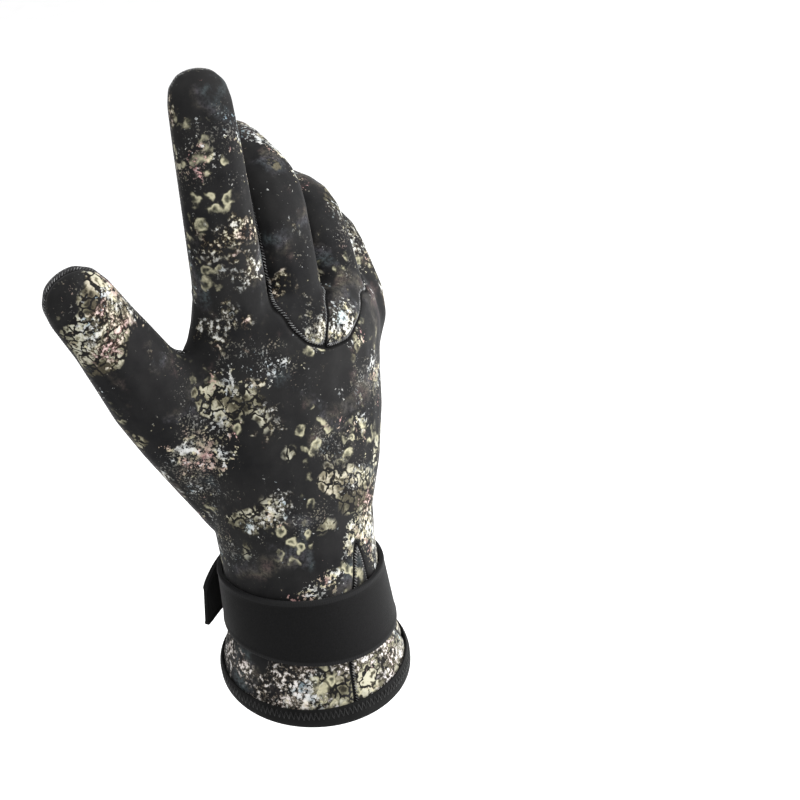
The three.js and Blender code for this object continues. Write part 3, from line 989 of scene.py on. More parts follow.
@dataclass
class Skin:
    """The glove's outer surface, smooth and whole, with each point's distance to the panels around it."""

    voxel: float = 0.86 * MM
    swell: float = 0.25 * MM
    swell_taken_back: float = 0.8
    hem_rise: float = 3.0 * MM
    plug_sides: int = 96
    plug_depth: float = 2.4 * MM
    plug_inset: float = 3.0 * MM
    pull: float = 0.6
    facet_rounds: int = 90
    facet_push: float = 0.618
    root_rounds: int = 60
    root_push: float = 0.612
    root_height: float = 148 * MM
    root_reach: float = 17 * MM
    hollow_rounds: int = 260
    thumb_web: tuple = ((-26 * MM, 12.5 * MM, 144 * MM), (13 * MM, 13 * MM, 18 * MM))
    little_root: tuple = ((57 * MM, 11 * MM, 113 * MM), (9 * MM, 11 * MM, 10 * MM))
    depth_rounds: int = 10
    depth_pull: float = 0.5
    surface: Surface = field(init=False)
    normal: np.ndarray = field(init=False)
    inside: dict[str, np.ndarray] = field(init=False)
    tree: BVHTree = field(init=False)

    def build(self) -> "Skin":
        """Fuses copies of the panels, smooths them and measures the seams.

        Returns:
            The skin itself.
        """
        copies = [copy_of(node, "skin_" + node) for node in PANELS]
        for copy in copies:
            apply_modifier(copy, "DISPLACE", strength=self.swell, mid_level=0.0)
        copies.append(self.plug())
        select_only(*copies)
        bpy.ops.object.join()
        fused = copies[0]
        apply_modifier(fused, "REMESH", mode="VOXEL", voxel_size=self.voxel)
        mesh = fused.data
        points = np.zeros(len(mesh.vertices) * 3)
        mesh.vertices.foreach_get("co", points)
        quads = np.zeros(len(mesh.polygons) * 4, int)
        mesh.polygons.foreach_get("vertices", quads)
        self.surface = Surface(points.reshape(-1, 3), quads.reshape(-1, 4))
        bpy.data.objects.remove(fused)
        self.smooth()
        self.measure()
        log.info("skin: %d points", len(self.surface.points))
        return self

    def hem_line(self) -> tuple[float, float]:
        """Reads the hem band's lower edge.

        Returns:
            Its height at the glove's middle, and its slope towards the palm.
        """
        band = np.array([v.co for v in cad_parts["hem_band"].data.vertices])
        back, palm = band[band[:, 1].argmin()], band[band[:, 1].argmax()]
        slope = (palm[2] - back[2]) / (palm[1] - back[1])
        return float((band[:, 2] - slope * band[:, 1]).min()), float(slope)

    def above_hem(self, points: np.ndarray) -> np.ndarray:
        """Measures how far points lie above the line that the skin starts from in the hem band.

        Args:
            points: The points.

        Returns:
            The heights above the line.
        """
        low, slope = self.hem_line()
        return points[:, 2] - slope * points[:, 1] - low - self.hem_rise

    def plug(self) -> bpy.types.Object:
        """Makes a disc that closes the cuff's mouth while the panels are fused.

        Returns:
            The disc.
        """
        low, slope = self.hem_line()
        corner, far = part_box("hem_band")
        bpy.ops.mesh.primitive_cylinder_add(vertices=self.plug_sides, radius=1.0, depth=self.plug_depth)
        disc = bpy.context.object
        across, along = (far.x - corner.x) / 2, (far.y - corner.y) / 2
        disc.scale = (across - self.plug_inset, along - self.plug_inset, 1.0)
        disc.rotation_euler = (math.atan(slope), 0.0, 0.0)
        disc.location = (0.0, 0.0, low + self.hem_rise)
        select_only(disc)
        bpy.ops.object.transform_apply()
        return disc

    def smooth(self) -> None:
        """Takes off the facets, softens the fingers' roots and rounds the hollows beside two of them."""
        surface = self.surface
        surface.points = surface.relaxed(surface.points, self.facet_rounds, self.pull, self.facet_push)
        height = surface.points[:, 2] - self.root_height
        mask = np.exp(-((height / self.root_reach) ** 2))[:, None]
        surface.points = surface.relaxed(surface.points, self.root_rounds, self.pull, self.root_push, mask)
        mask = np.zeros((len(surface.points), 1))
        for middle, reach in (self.thumb_web, self.little_root):
            away = np.linalg.norm((surface.points - np.array(middle)) / np.array(reach), axis=1)
            mask = np.maximum(mask, np.exp(-(away**2))[:, None])
        surface.points = surface.relaxed(surface.points, self.hollow_rounds, self.pull, mask=mask)
        self.normal = surface.normals()
        surface.points = surface.points - self.normal * self.swell * self.swell_taken_back

    def measure(self) -> None:
        """Finds how far inside each panel every point lies, 0 on the panel's seams."""
        points = self.surface.points
        away = {}
        for node in PANELS:
            copy = copy_of(node, "measure_" + node)
            tree = BVHTree.FromObject(copy, bpy.context.evaluated_depsgraph_get())
            away[node] = np.array([tree.find_nearest(p)[3] for p in points.tolist()])
            bpy.data.objects.remove(copy)
        self.inside = {}
        above_hem = self.above_hem(points)
        for node in PANELS:
            others = np.min([away[other] for other in PANELS if other != node], axis=0)
            depth = self.surface.relaxed(others - away[node], self.depth_rounds, self.depth_pull)
            self.inside[node] = np.minimum(depth, above_hem)
        self.tree = BVHTree.FromPolygons(points.tolist(), self.surface.quads.tolist())


@dataclass
class Cut:
    """A part of the skin inside one panel, with its border."""

    points: np.ndarray
    normals: np.ndarray
    depth: np.ndarray
    faces: list
    border: list


def cut_out(skin: Skin, depth: np.ndarray, level: float) -> Cut:
    """Cuts the part of the skin whose depth is more than a level.

    Args:
        skin: The glove's skin.
        depth: How far inside the panel each point lies.
        level: Where the cut runs.

    Returns:
        The part, with the edges of its border.
    """
    surface = skin.surface
    inner = depth > level
    count = inner[surface.quads].sum(axis=1)
    faces = surface.quads[count == 4].tolist()
    points, normals, depths = [], [], []
    made: dict[tuple[int, int], int] = {}
    border = []

    def crossing(a: int, b: int) -> int:
        """Finds or makes the new point where an edge crosses the level.

        Args:
            a: One of the edge's points.
            b: The other.

        Returns:
            The new point's number.
        """
        key = (min(a, b), max(a, b))
        if key not in made:
            share = (level - depth[a]) / (depth[b] - depth[a])
            made[key] = len(depth) + len(points)
            points.append(surface.points[a] + share * (surface.points[b] - surface.points[a]))
            normals.append(skin.normal[a] + share * (skin.normal[b] - skin.normal[a]))
            depths.append(level)
        return made[key]

    for quad in surface.quads[(count > 0) & (count < 4)].tolist():
        parts = [quad]
        if count_changes(inner, quad) > 2:
            parts = [quad[:3], [quad[0], *quad[2:]]]
        for part in parts:
            face, cuts = [], []
            for a, b in zip(part, part[1:] + part[:1]):
                if inner[a]:
                    face.append(a)
                if inner[a] != inner[b]:
                    face.append(crossing(a, b))
                    cuts.append(face[-1])
            if len(face) > 2:
                faces.append(face)
            if len(cuts) == 2:
                border.append(tuple(cuts))
    every = np.concatenate([surface.points, np.array(points).reshape(-1, 3)])
    facing = np.concatenate([skin.normal, np.array(normals).reshape(-1, 3)])
    deep = np.concatenate([depth, np.array(depths)])
    used = np.zeros(len(every), bool)
    for face in faces:
        used[face] = True
    number = np.cumsum(used) - 1
    faces = [[int(number[i]) for i in face] for face in faces]
    border = [(int(number[a]), int(number[b])) for a, b in border]
    return Cut(every[used], facing[used], deep[used], faces, border)


def count_changes(inner: np.ndarray, quad: list) -> int:
    """How often a face's corners change between inside and outside."""
    return sum(inner[a] != inner[b] for a, b in zip(quad, quad[1:] + quad[:1]))


def chains(border: list, least: int = 8) -> list[list[int]]:
    """Joins a border's edges into runs of points.

    Args:
        border: The border's edges.
        least: A run with no more points than this is left out.

    Returns:
        The runs, longest first. A closed run repeats its first point.
    """
    beside: dict[int, list[int]] = {}
    for a, b in border:
        beside.setdefault(a, []).append(b)
        beside.setdefault(b, []).append(a)
    left = {tuple(sorted(edge)) for edge in border}
    runs = []
    starts = [p for p, near in beside.items() if len(near) == 1] + list(beside)
    for start in starts:
        run = [start]
        while True:
            ahead = [p for p in beside[run[-1]] if tuple(sorted((run[-1], p))) in left]
            if not ahead:
                break
            left.discard(tuple(sorted((run[-1], ahead[0]))))
            run.append(ahead[0])
        if len(run) > least:
            runs.append(run)
    return sorted(runs, key=len, reverse=True)


def evened(path: np.ndarray, pitch: float, rounds: int = 6) -> np.ndarray:
    """Smooths a run of points and places new ones at an even pitch.

    Args:
        path: The run of points.
        pitch: The new points' pitch.
        rounds: How much it is smoothed.

    Returns:
        The new points.
    """
    for _ in range(rounds):
        path[1:-1] = 0.5 * path[1:-1] + 0.25 * (path[:-2] + path[2:])
    way = np.concatenate([[0], np.cumsum(np.linalg.norm(np.diff(path, axis=0), axis=1))])
    count = max(2, round(way[-1] / pitch))
    at = np.linspace(0, way[-1], count + 1)
    return np.stack([np.interp(at, way, path[:, k]) for k in range(3)], axis=1)


@dataclass
class Panel:
    """One sewn panel of the glove: its outer face with sunken edges, and a wall behind it."""

    node: str
    slot: Slot
    gap: float = 0.10 * MM
    wall: float = 1.5 * MM
    sink: float = 0.75 * MM
    roll: float = 1.25 * MM
    merge: float = 0.12 * MM
    least_edge: float = 0.02 * MM
    sharp_angle: float = 55.0
    seam_paths: list = field(default_factory=list)

    def build(self, skin: Skin) -> bpy.types.Object:
        """Cuts the panel from the skin, rolls its edges in and gives it its wall.

        Args:
            skin: The glove's skin.

        Returns:
            The panel.
        """
        cut = cut_out(skin, skin.inside[self.node], self.gap)
        sunk = self.sink * np.exp(-((cut.depth / self.roll) ** 2))
        self.seam_paths = [cut.points[run] for run in chains(cut.border)]
        panel = new_object(self.node + "_skin", cut.points - cut.normals * sunk[:, None], cut.faces)
        put_attribute(panel, "seam_mm", cut.depth / MM)
        select_only(panel)
        bpy.ops.object.mode_set(mode="EDIT")
        bpy.ops.mesh.select_all(action="SELECT")
        bpy.ops.mesh.remove_doubles(threshold=self.merge)
        bpy.ops.mesh.dissolve_degenerate(threshold=self.least_edge)
        bpy.ops.object.mode_set(mode="OBJECT")
        if self.slot is Slot.GRIP:
            put_attribute(panel, "grip_place", FlatCloth().lay(panel) / MM)
        apply_modifier(panel, "SOLIDIFY", thickness=self.wall, offset=-1.0)
        smooth_by_angle(panel, self.sharp_angle)
        return panel

    def dress(self, panel: bpy.types.Object, material: bpy.types.Material) -> None:
        """Finishes the panel.

        Args:
            panel: The built panel.
            material: Its material.
        """
        place_piece(panel, self.slot, material, self.node)


@dataclass
class FlatCloth:
    """A panel laid flat with hardly any stretch, by way of a light copy of its mesh."""

    share: float = 0.035
    rounds: int = 120
    least_weight: float = 0.05
    hold: float = 1e-6
    middle_low: float = 75 * MM
    middle_high: float = 125 * MM
    middle_side: float = 12 * MM
    middle_reach: float = 22 * MM

    def light_copy(self, panel: bpy.types.Object) -> tuple[np.ndarray, np.ndarray, np.ndarray]:
        """Thins a copy of the panel out and unwraps it.

        Args:
            panel: The panel, before it has a wall.

        Returns:
            The copy's points, its triangles, and its points laid flat with their angles kept.
        """
        light = panel.copy()
        light.data = panel.data.copy()
        bpy.context.scene.collection.objects.link(light)
        apply_modifier(light, "DECIMATE", ratio=self.share, use_collapse_triangulate=True)
        mesh = light.data
        mesh.uv_layers.new(name="cloth")
        select_only(light)
        bpy.ops.object.mode_set(mode="EDIT")
        bpy.ops.mesh.select_all(action="SELECT")
        bpy.ops.uv.unwrap(method="CONFORMAL", margin=0.0)
        bpy.ops.object.mode_set(mode="OBJECT")
        points = np.array([v.co for v in mesh.vertices])
        faces = np.array([face.vertices for face in mesh.polygons])
        flat = np.zeros((len(points), 2))
        for loop, corner in zip(mesh.loops, mesh.uv_layers["cloth"].data):
            flat[loop.vertex_index] = corner.uv
        bpy.data.objects.remove(light)
        return points, faces, flat

    def eased(self, points: np.ndarray, faces: np.ndarray, flat: np.ndarray) -> np.ndarray:
        """Turns every triangle stiffly to its best place and joins them again, round after round.

        Args:
            points: The light copy's points.
            faces: Its triangles.
            flat: Its points laid flat.

        Returns:
            The points laid flat, true to size.
        """
        one, two, three = (points[faces[:, k]] for k in range(3))
        first, second = two - one, three - one
        size = np.linalg.norm(first, axis=1)
        bulk = np.linalg.norm(np.cross(first, second), axis=1)
        local = np.zeros((len(faces), 3, 2))
        local[:, 1, 0] = size
        local[:, 2, 0] = (first * second).sum(axis=1) / size
        local[:, 2, 1] = bulk / size
        spread = flat[faces]
        ahead, beside = spread[:, 1] - spread[:, 0], spread[:, 2] - spread[:, 0]
        area = (ahead[:, 0] * beside[:, 1] - ahead[:, 1] * beside[:, 0]).sum()
        flat = flat * math.sqrt(bulk.sum() / abs(area)) * np.array([math.copysign(1.0, area), 1.0])
        pull = np.eye(len(points)) * self.hold
        sides = []
        for k in range(3):
            i, j = faces[:, k], faces[:, (k + 1) % 3]
            start, stop, far = local[:, k], local[:, (k + 1) % 3], local[:, (k + 2) % 3]
            weight = np.maximum(((start - far) * (stop - far)).sum(axis=1) / bulk, self.least_weight)
            np.add.at(pull, (i, j), -weight)
            np.add.at(pull, (j, i), -weight)
            np.add.at(pull, (i, i), weight)
            np.add.at(pull, (j, j), weight)
            sides.append((i, j, weight[:, None] * (start - stop)))
        settle = np.linalg.inv(pull)
        for _ in range(self.rounds):
            cosine, sine = np.zeros(len(faces)), np.zeros(len(faces))
            for i, j, side in sides:
                run = flat[i] - flat[j]
                cosine += (run * side).sum(axis=1)
                sine += run[:, 1] * side[:, 0] - run[:, 0] * side[:, 1]
            length = np.maximum(np.hypot(cosine, sine), 1e-12)
            cosine, sine = cosine / length, sine / length
            goal = flat * self.hold
            for i, j, side in sides:
                x, y = side.T
                turned = np.stack([cosine * x - sine * y, sine * x + cosine * y], axis=1)
                np.add.at(goal, i, turned)
                np.add.at(goal, j, -turned)
            flat = settle @ goal
        return flat

    def lay(self, panel: bpy.types.Object) -> np.ndarray:
        """Lays a panel flat.

        Args:
            panel: The panel, before it has a wall.

        Returns:
            For each point its place on the cloth, in metres, with the second axis towards the fingers.
        """
        places, faces, flat = self.light_copy(panel)
        flat = self.eased(places, faces, flat)
        inner = (places[:, 2] > self.middle_low) & (places[:, 2] < self.middle_high)
        inner &= np.abs(places[:, 0] - self.middle_side) < self.middle_reach
        known, goal = flat[inner], places[inner][:, [0, 2]]
        left, _, right = np.linalg.svd((known - known.mean(axis=0)).T @ (goal - goal.mean(axis=0)))
        flat = (flat - known.mean(axis=0)) @ left @ right + goal.mean(axis=0)
        tree = BVHTree.FromPolygons(places.tolist(), faces.tolist())
        cloth = np.zeros((len(panel.data.vertices), 3))
        for i, vertex in enumerate(panel.data.vertices):
            face = faces[tree.find_nearest(vertex.co)[2]]
            span = [Vector(p) for p in places[face]]
            laid = [Vector((*p, 0.0)) for p in flat[face]]
            cloth[i, :2] = barycentric_transform(vertex.co, *span, *laid)[:2]
        log.info("flat cloth: %d points by way of %d", len(cloth), len(places))
        return cloth


@dataclass
class Lining:
    """The plain inner face of the neoprene, which shows in the cuff's mouth."""

    inset: float = 1.75 * MM
    wall: float = 1.2 * MM
    rise: float = 0.4 * MM
    kept_faces: float = 0.22
    sharp_angle: float = 60.0

    def build(self, skin: Skin) -> bpy.types.Object:
        """Sets the skin inwards and thickens it.

        Args:
            skin: The glove's skin.

        Returns:
            The lining.
        """
        cut = cut_out(skin, skin.above_hem(skin.surface.points), self.rise)
        lining = new_object("lining", cut.points - cut.normals * self.inset, cut.faces)
        apply_modifier(lining, "DECIMATE", ratio=self.kept_faces)
        apply_modifier(lining, "SOLIDIFY", thickness=self.wall, offset=-1.0)
        smooth_by_angle(lining, self.sharp_angle)
        return lining


@dataclass
class Stitch:
    """One short stitch of thread, modelled once and copied along the seams."""

    radius: float
    sides: int = 6
    straight: float = 0.22
    end_radius: float = 0.55
    sharp_angle: float = 80.0

    def model(self) -> tuple[np.ndarray, list]:
        """Models a stitch one unit long, with its ends drawn in.

        Returns:
            Its points, along X, and its faces.
        """
        bpy.ops.mesh.primitive_cylinder_add(vertices=self.sides, radius=1.0, depth=1.0)
        stitch = bpy.context.object
        select_only(stitch)
        stitch.rotation_euler = (0.0, math.pi / 2, 0.0)
        bpy.ops.object.transform_apply()
        bpy.ops.object.mode_set(mode="EDIT")
        for place in (-self.straight, self.straight):
            bpy.ops.mesh.select_all(action="SELECT")
            bpy.ops.mesh.bisect(plane_co=(place, 0, 0), plane_no=(1, 0, 0))
        bpy.ops.object.mode_set(mode="OBJECT")
        points = np.array([v.co for v in stitch.data.vertices])
        faces = [list(face.vertices) for face in stitch.data.polygons]
        bpy.data.objects.remove(stitch)
        ends = np.abs(points[:, 0]) > 1.5 * self.straight
        points[ends, 1:] *= self.end_radius
        return points, faces

    def sew(self, name: str, threads: list[tuple]) -> bpy.types.Object:
        """Copies the stitch between pairs of places.

        Args:
            name: The finished piece's name.
            threads: For each stitch its two ends, the surface's normal and how high its middle arches.

        Returns:
            All the stitches as one piece.
        """
        unit, faces = self.model()
        points, every = [], []
        for start, end, normal, arch in threads:
            along = end - start
            length = np.linalg.norm(along)
            along = along / length
            side = np.cross(normal, along)
            side = side / np.linalg.norm(side)
            up = np.cross(along, side)
            raised = arch * (1 - (2 * unit[:, :1]) ** 2)
            base = len(points) * len(unit)
            points.append(
                (start + end) / 2
                + unit[:, :1] * length * along
                + unit[:, 1:2] * self.radius * side
                + (unit[:, 2:3] * self.radius + raised) * up
            )
            every.extend([[base + i for i in face] for face in faces])
        made = new_object(name, np.concatenate(points), every)
        smooth_by_angle(made, self.sharp_angle)
        return made


@dataclass
class SeamStitches:
    """The slanted stitches that bind each panel's edge."""

    pitch: float = 1.15 * MM
    inner: float = 0.30 * MM
    outer: float = 1.45 * MM
    slant: float = 0.45
    arch: float = 0.14 * MM
    probe: float = 1.2 * MM
    claim: float = 1.2 * MM
    above_hem: float = 2.0 * MM
    stitch: Stitch = field(default_factory=lambda: Stitch(radius=0.19 * MM))

    def along(self, skin: Skin, node: str, path: np.ndarray) -> list[tuple]:
        """Places the stitches of one seam, on the side of the panel that it belongs to.

        Args:
            skin: The glove's skin.
            node: The panel that is bound.
            path: The seam's run of points.

        Returns:
            The threads' ends, normals and arches.
        """
        even = evened(path.copy(), self.pitch)
        frames = []
        for i in range(len(even) - 1):
            place, normal, _, _ = skin.tree.find_nearest((even[i] + even[i + 1]) / 2)
            ahead = even[i + 1] - even[i]
            frames.append((np.array(place), np.array(normal), ahead / np.linalg.norm(ahead)))
        sides = [np.cross(normal, ahead) for _, normal, ahead in frames]
        inwards, outwards = (
            sum(self.depth(skin, node, f[0] + step * s) for f, s in zip(frames, sides))
            for step in (self.probe, -self.probe)
        )
        way = 1.0 if inwards > outwards else -1.0
        threads = []
        for (place, _, ahead), side in zip(frames, sides):
            lean = self.slant * self.pitch * ahead
            ends = []
            for reach, push in ((self.inner, -lean), (self.outer, lean)):
                at, facing, _, _ = skin.tree.find_nearest(place + way * reach * side + push)
                sunk = Panel.sink * math.exp(-((reach / Panel.roll) ** 2))
                ends.append((np.array(at) - np.array(facing) * sunk, np.array(facing)))
            threads.append((ends[0][0], ends[1][0], (ends[0][1] + ends[1][1]) / 2, self.arch))
        return threads

    @staticmethod
    def depth(skin: Skin, node: str, place: np.ndarray) -> float:
        """How far inside a panel a place lies."""
        face = skin.tree.find_nearest(place)[2]
        return float(skin.inside[node][skin.surface.quads[face]].mean())

    def build(self, skin: Skin, panels: list[Panel]) -> bpy.types.Object:
        """Sews every seam once.

        Args:
            skin: The glove's skin.
            panels: The panels whose borders are sewn, in the order that claims each seam.

        Returns:
            The stitches.
        """
        threads = []
        sewn = []
        for panel in panels:
            for run in panel.seam_paths:
                free = skin.above_hem(run) > self.above_hem
                if sewn:
                    taken = BVHTree.FromPolygons(*ribbon(sewn))
                    free &= np.array([taken.find_nearest(p, self.claim)[0] is None for p in run.tolist()])
                for piece in pieces_of(run, free):
                    threads += self.along(skin, panel.node, piece)
            sewn += panel.seam_paths
        return self.stitch.sew("seam_stitches", threads)


def ribbon(paths: list) -> tuple[list, list]:
    """Thin triangles along runs of points, to measure distances to them.

    Args:
        paths: The runs.

    Returns:
        The points and the faces.
    """
    points, faces = [], []
    for path in paths:
        base = len(points)
        points += path.tolist()
        faces += [[base + i, base + i + 1, base + i] for i in range(len(path) - 1)]
    return points, faces


def pieces_of(run: np.ndarray, free: np.ndarray, least: int = 6) -> list[np.ndarray]:
    """Splits a run into the stretches that are free.

    Args:
        run: The run of points.
        free: Which of them are free.
        least: A stretch with no more points than this is left out.

    Returns:
        The stretches.
    """
    changes = np.flatnonzero(np.diff(np.concatenate([[0], free.astype(int), [0]])))
    return [run[start:stop] for start, stop in changes.reshape(-1, 2) if stop - start > least]


@dataclass
class WristStrap:
    """The webbing strap, once around the wrist and over its own start, with its free end standing off."""

    ring_points: int = 8
    ring_corner: float = 0.96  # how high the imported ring's corners stand, as a share of its half width
    finer: int = 5
    across: int = 24
    thickness: float = 1.7 * MM
    edge_width: float = 0.42 * MM
    edge_angle: float = 60.0
    sharp_angle: float = 50.0
    edge_bead: float = 0.22 * MM
    bead_place: float = 0.93
    bead_width: float = 0.055
    corner: float = 5 * MM
    corner_cut: float = 0.12

    def rings(self) -> np.ndarray:
        """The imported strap's rings, from its start to its free end.

        Returns:
            For each ring its middle, the way to its upper edge and the way outwards, as rows of three vectors.
        """
        copy = copy_of("wrist_strap", "strap_copy")
        beside: dict[int, set] = {v.index: set() for v in copy.data.vertices}
        for edge in copy.data.edges:
            a, b = edge.vertices
            beside[a].add(b)
            beside[b].add(a)
        places = np.array([v.co for v in copy.data.vertices])
        bpy.data.objects.remove(copy)
        full = {p: near for p, near in beside.items() if len(near) == self.ring_points}
        hubs = [p for p, near in full.items() if self.is_hub(places, p, near)]
        start = min(hubs, key=lambda p: float(np.linalg.norm(places[p, :2])))
        seen = {start}
        layer = set(beside[start])
        rows = []
        while len(layer) == self.ring_points:
            rows.append(self.ring(places[sorted(layer)]))
            seen |= layer
            layer = {q for p in layer for q in beside[p]} - seen
        return np.array(rows)

    @staticmethod
    def is_hub(places: np.ndarray, point: int, near: set) -> bool:
        """Whether a point is the middle of its neighbours, as an end's is."""
        return bool(np.linalg.norm(places[list(near)].mean(axis=0) - places[point]) < 2 * SAME_PLACE)

    def ring(self, corners: np.ndarray) -> tuple[np.ndarray, np.ndarray, np.ndarray]:
        """Reads a ring's middle, its half width upwards and its direction outwards.

        Args:
            corners: The ring's points.

        Returns:
            The three vectors.
        """
        middle = corners.mean(axis=0)
        upper = corners[corners[:, 2] > middle[2]].mean(axis=0)
        up = (upper - middle) / self.ring_corner
        direction = up / np.linalg.norm(up)
        beyond = corners - middle
        outer = beyond - np.outer(beyond @ direction, direction)
        far = outer[(outer @ middle) > 0].mean(axis=0)
        return middle, up, far / np.linalg.norm(far)

    def build(self) -> bpy.types.Object:
        """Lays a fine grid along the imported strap, gives it its thickness and rolls its edges.

        Returns:
            The strap.
        """
        rings = self.rings()
        steps = (len(rings) - 1) * self.finer
        at = np.linspace(0, len(rings) - 1, steps + 1)
        base = np.minimum(at.astype(int), len(rings) - 2)
        share = (at - base)[:, None, None]
        before, after = np.maximum(base - 1, 0), np.minimum(base + 2, len(rings) - 1)
        p0, p1, p2, p3 = rings[before], rings[base], rings[base + 1], rings[after]
        bends = 2 * p1 + (p2 - p0) * share + (2 * p0 - 5 * p1 + 4 * p2 - p3) * share**2
        smooth = 0.5 * (bends + (3 * p1 - p0 - 3 * p2 + p3) * share**3)
        middle, up, outward = smooth[:, 0], smooth[:, 1], smooth[:, 2]
        way = np.concatenate([[0], np.cumsum(np.linalg.norm(np.diff(middle, axis=0), axis=1))])

        bpy.ops.mesh.primitive_grid_add(x_subdivisions=steps, y_subdivisions=self.across, size=2.0)
        strap = bpy.context.object
        strap.name = "webbing_strap"
        flat = np.array([v.co for v in strap.data.vertices])
        row = np.rint((flat[:, 0] + 1) / 2 * steps).astype(int)
        side = flat[:, 1]
        end = np.minimum(way[-1] - way[row], self.corner) / self.corner
        rounded = 1 - self.corner_cut * (1 - np.sqrt(1 - (1 - end) ** 2))
        laid = middle[row] + up[row] * (side * rounded)[:, None]
        strap.data.vertices.foreach_set("co", laid.ravel())
        put_attribute(strap, "across", side)
        put_attribute(strap, "along", way[row] / MM)
        strap.data.update()
        facing = np.array(strap.data.polygons[len(strap.data.polygons) // 2].normal)
        if facing @ outward[len(outward) // 2] < 0:
            strap.data.flip_normals()
        apply_modifier(strap, "SOLIDIFY", thickness=self.thickness, offset=0.0)
        edge = {"limit_method": "ANGLE", "angle_limit": math.radians(self.edge_angle)}
        apply_modifier(strap, "BEVEL", width=self.edge_width, segments=3, **edge)
        self.roll_edges(strap)
        smooth_by_angle(strap, self.sharp_angle)
        log.info("strap: %.0f mm long", way[-1] / MM)
        return strap

    def roll_edges(self, strap: bpy.types.Object) -> None:
        """Thickens the selvages into beads.

        Args:
            strap: The strap.
        """
        count = len(strap.data.vertices)
        side = np.zeros(count, np.float32)
        strap.data.attributes["across"].data.foreach_get("value", side)
        normal = np.array([v.normal for v in strap.data.vertices])
        places = np.array([v.co for v in strap.data.vertices])
        bead = self.edge_bead * np.exp(-(((np.abs(side) - self.bead_place) / self.bead_width) ** 2))
        strap.data.vertices.foreach_set("co", (places + normal * bead[:, None]).ravel())
        strap.data.update()

    def dress(self, strap: bpy.types.Object) -> None:
        """Finishes the strap."""
        place_piece(strap, Slot.STRAP, Webbing().material(), "wrist_strap")


@dataclass
class HemBand:
    """The folded band over the cuff's lower edge, with its zigzag of thread."""

    finer: int = 3
    sharp_angle: float = 60.0
    stitch_pitch: float = 1.95 * MM
    stitch_low: float = 0.50
    stitch_high: float = 0.86
    stitch_arch: float = 0.12 * MM
    edge_turn: float = 0.05
    stitch: Stitch = field(default_factory=lambda: Stitch(radius=0.23 * MM))

    def build(self) -> bpy.types.Object:
        """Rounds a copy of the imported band.

        Returns:
            The band.
        """
        band = copy_of("hem_band", "folded_hem")
        bpy.ops.object.mode_set(mode="EDIT")
        bpy.ops.mesh.select_all(action="SELECT")
        flat = math.radians(self.sharp_angle)
        bpy.ops.mesh.tris_convert_to_quads(face_threshold=flat, shape_threshold=flat)
        bpy.ops.object.mode_set(mode="OBJECT")
        apply_modifier(band, "SUBSURF", levels=self.finer, render_levels=self.finer)
        smooth_by_angle(band, self.sharp_angle)
        return band

    def sew(self, band: bpy.types.Object) -> bpy.types.Object:
        """Sews a zigzag along the band's upper half.

        Args:
            band: The band.

        Returns:
            The stitches.
        """
        tree = BVHTree.FromObject(band, bpy.context.evaluated_depsgraph_get())
        low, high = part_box("hem_band")
        points = np.array([v.co for v in band.data.vertices])
        around = np.arctan2(points[:, 1], points[:, 0])
        threads = []
        length = math.pi * ((high.x - low.x) + (high.y - low.y)) / 2
        count = round(length / self.stitch_pitch)
        step = 2 * math.pi / count
        for turn in np.linspace(-math.pi, math.pi, count + 1)[:-1]:
            near = np.abs(np.angle(np.exp(1j * (around - turn)))) < self.edge_turn
            floor, top = points[near, 2].min(), points[near, 2].max()
            zigzag = ((0.0, self.stitch_low), (0.5, self.stitch_high), (1.0, self.stitch_low))
            start, end, back = (
                self.on_band(tree, turn + ahead * step, floor + share * (top - floor))
                for ahead, share in zigzag
            )
            for a, b in ((start, end), (end, back)):
                threads.append((a[0], b[0], (a[1] + b[1]) / 2, self.stitch_arch))
        return self.stitch.sew("hem_stitches", threads)

    @staticmethod
    def on_band(tree: BVHTree, turn: float, height: float) -> tuple[np.ndarray, np.ndarray]:
        """A place on the band's outside.

        Args:
            tree: The band's faces.
            turn: The angle about the cuff.
            height: The height.

        Returns:
            The place and the normal there.
        """
        out = Vector((math.cos(turn), math.sin(turn), 0.0))
        start = out * 200 * MM + Vector((0, 0, height))
        place, normal, _, _ = tree.ray_cast(start, -out)
        return np.array(place), np.array(normal)


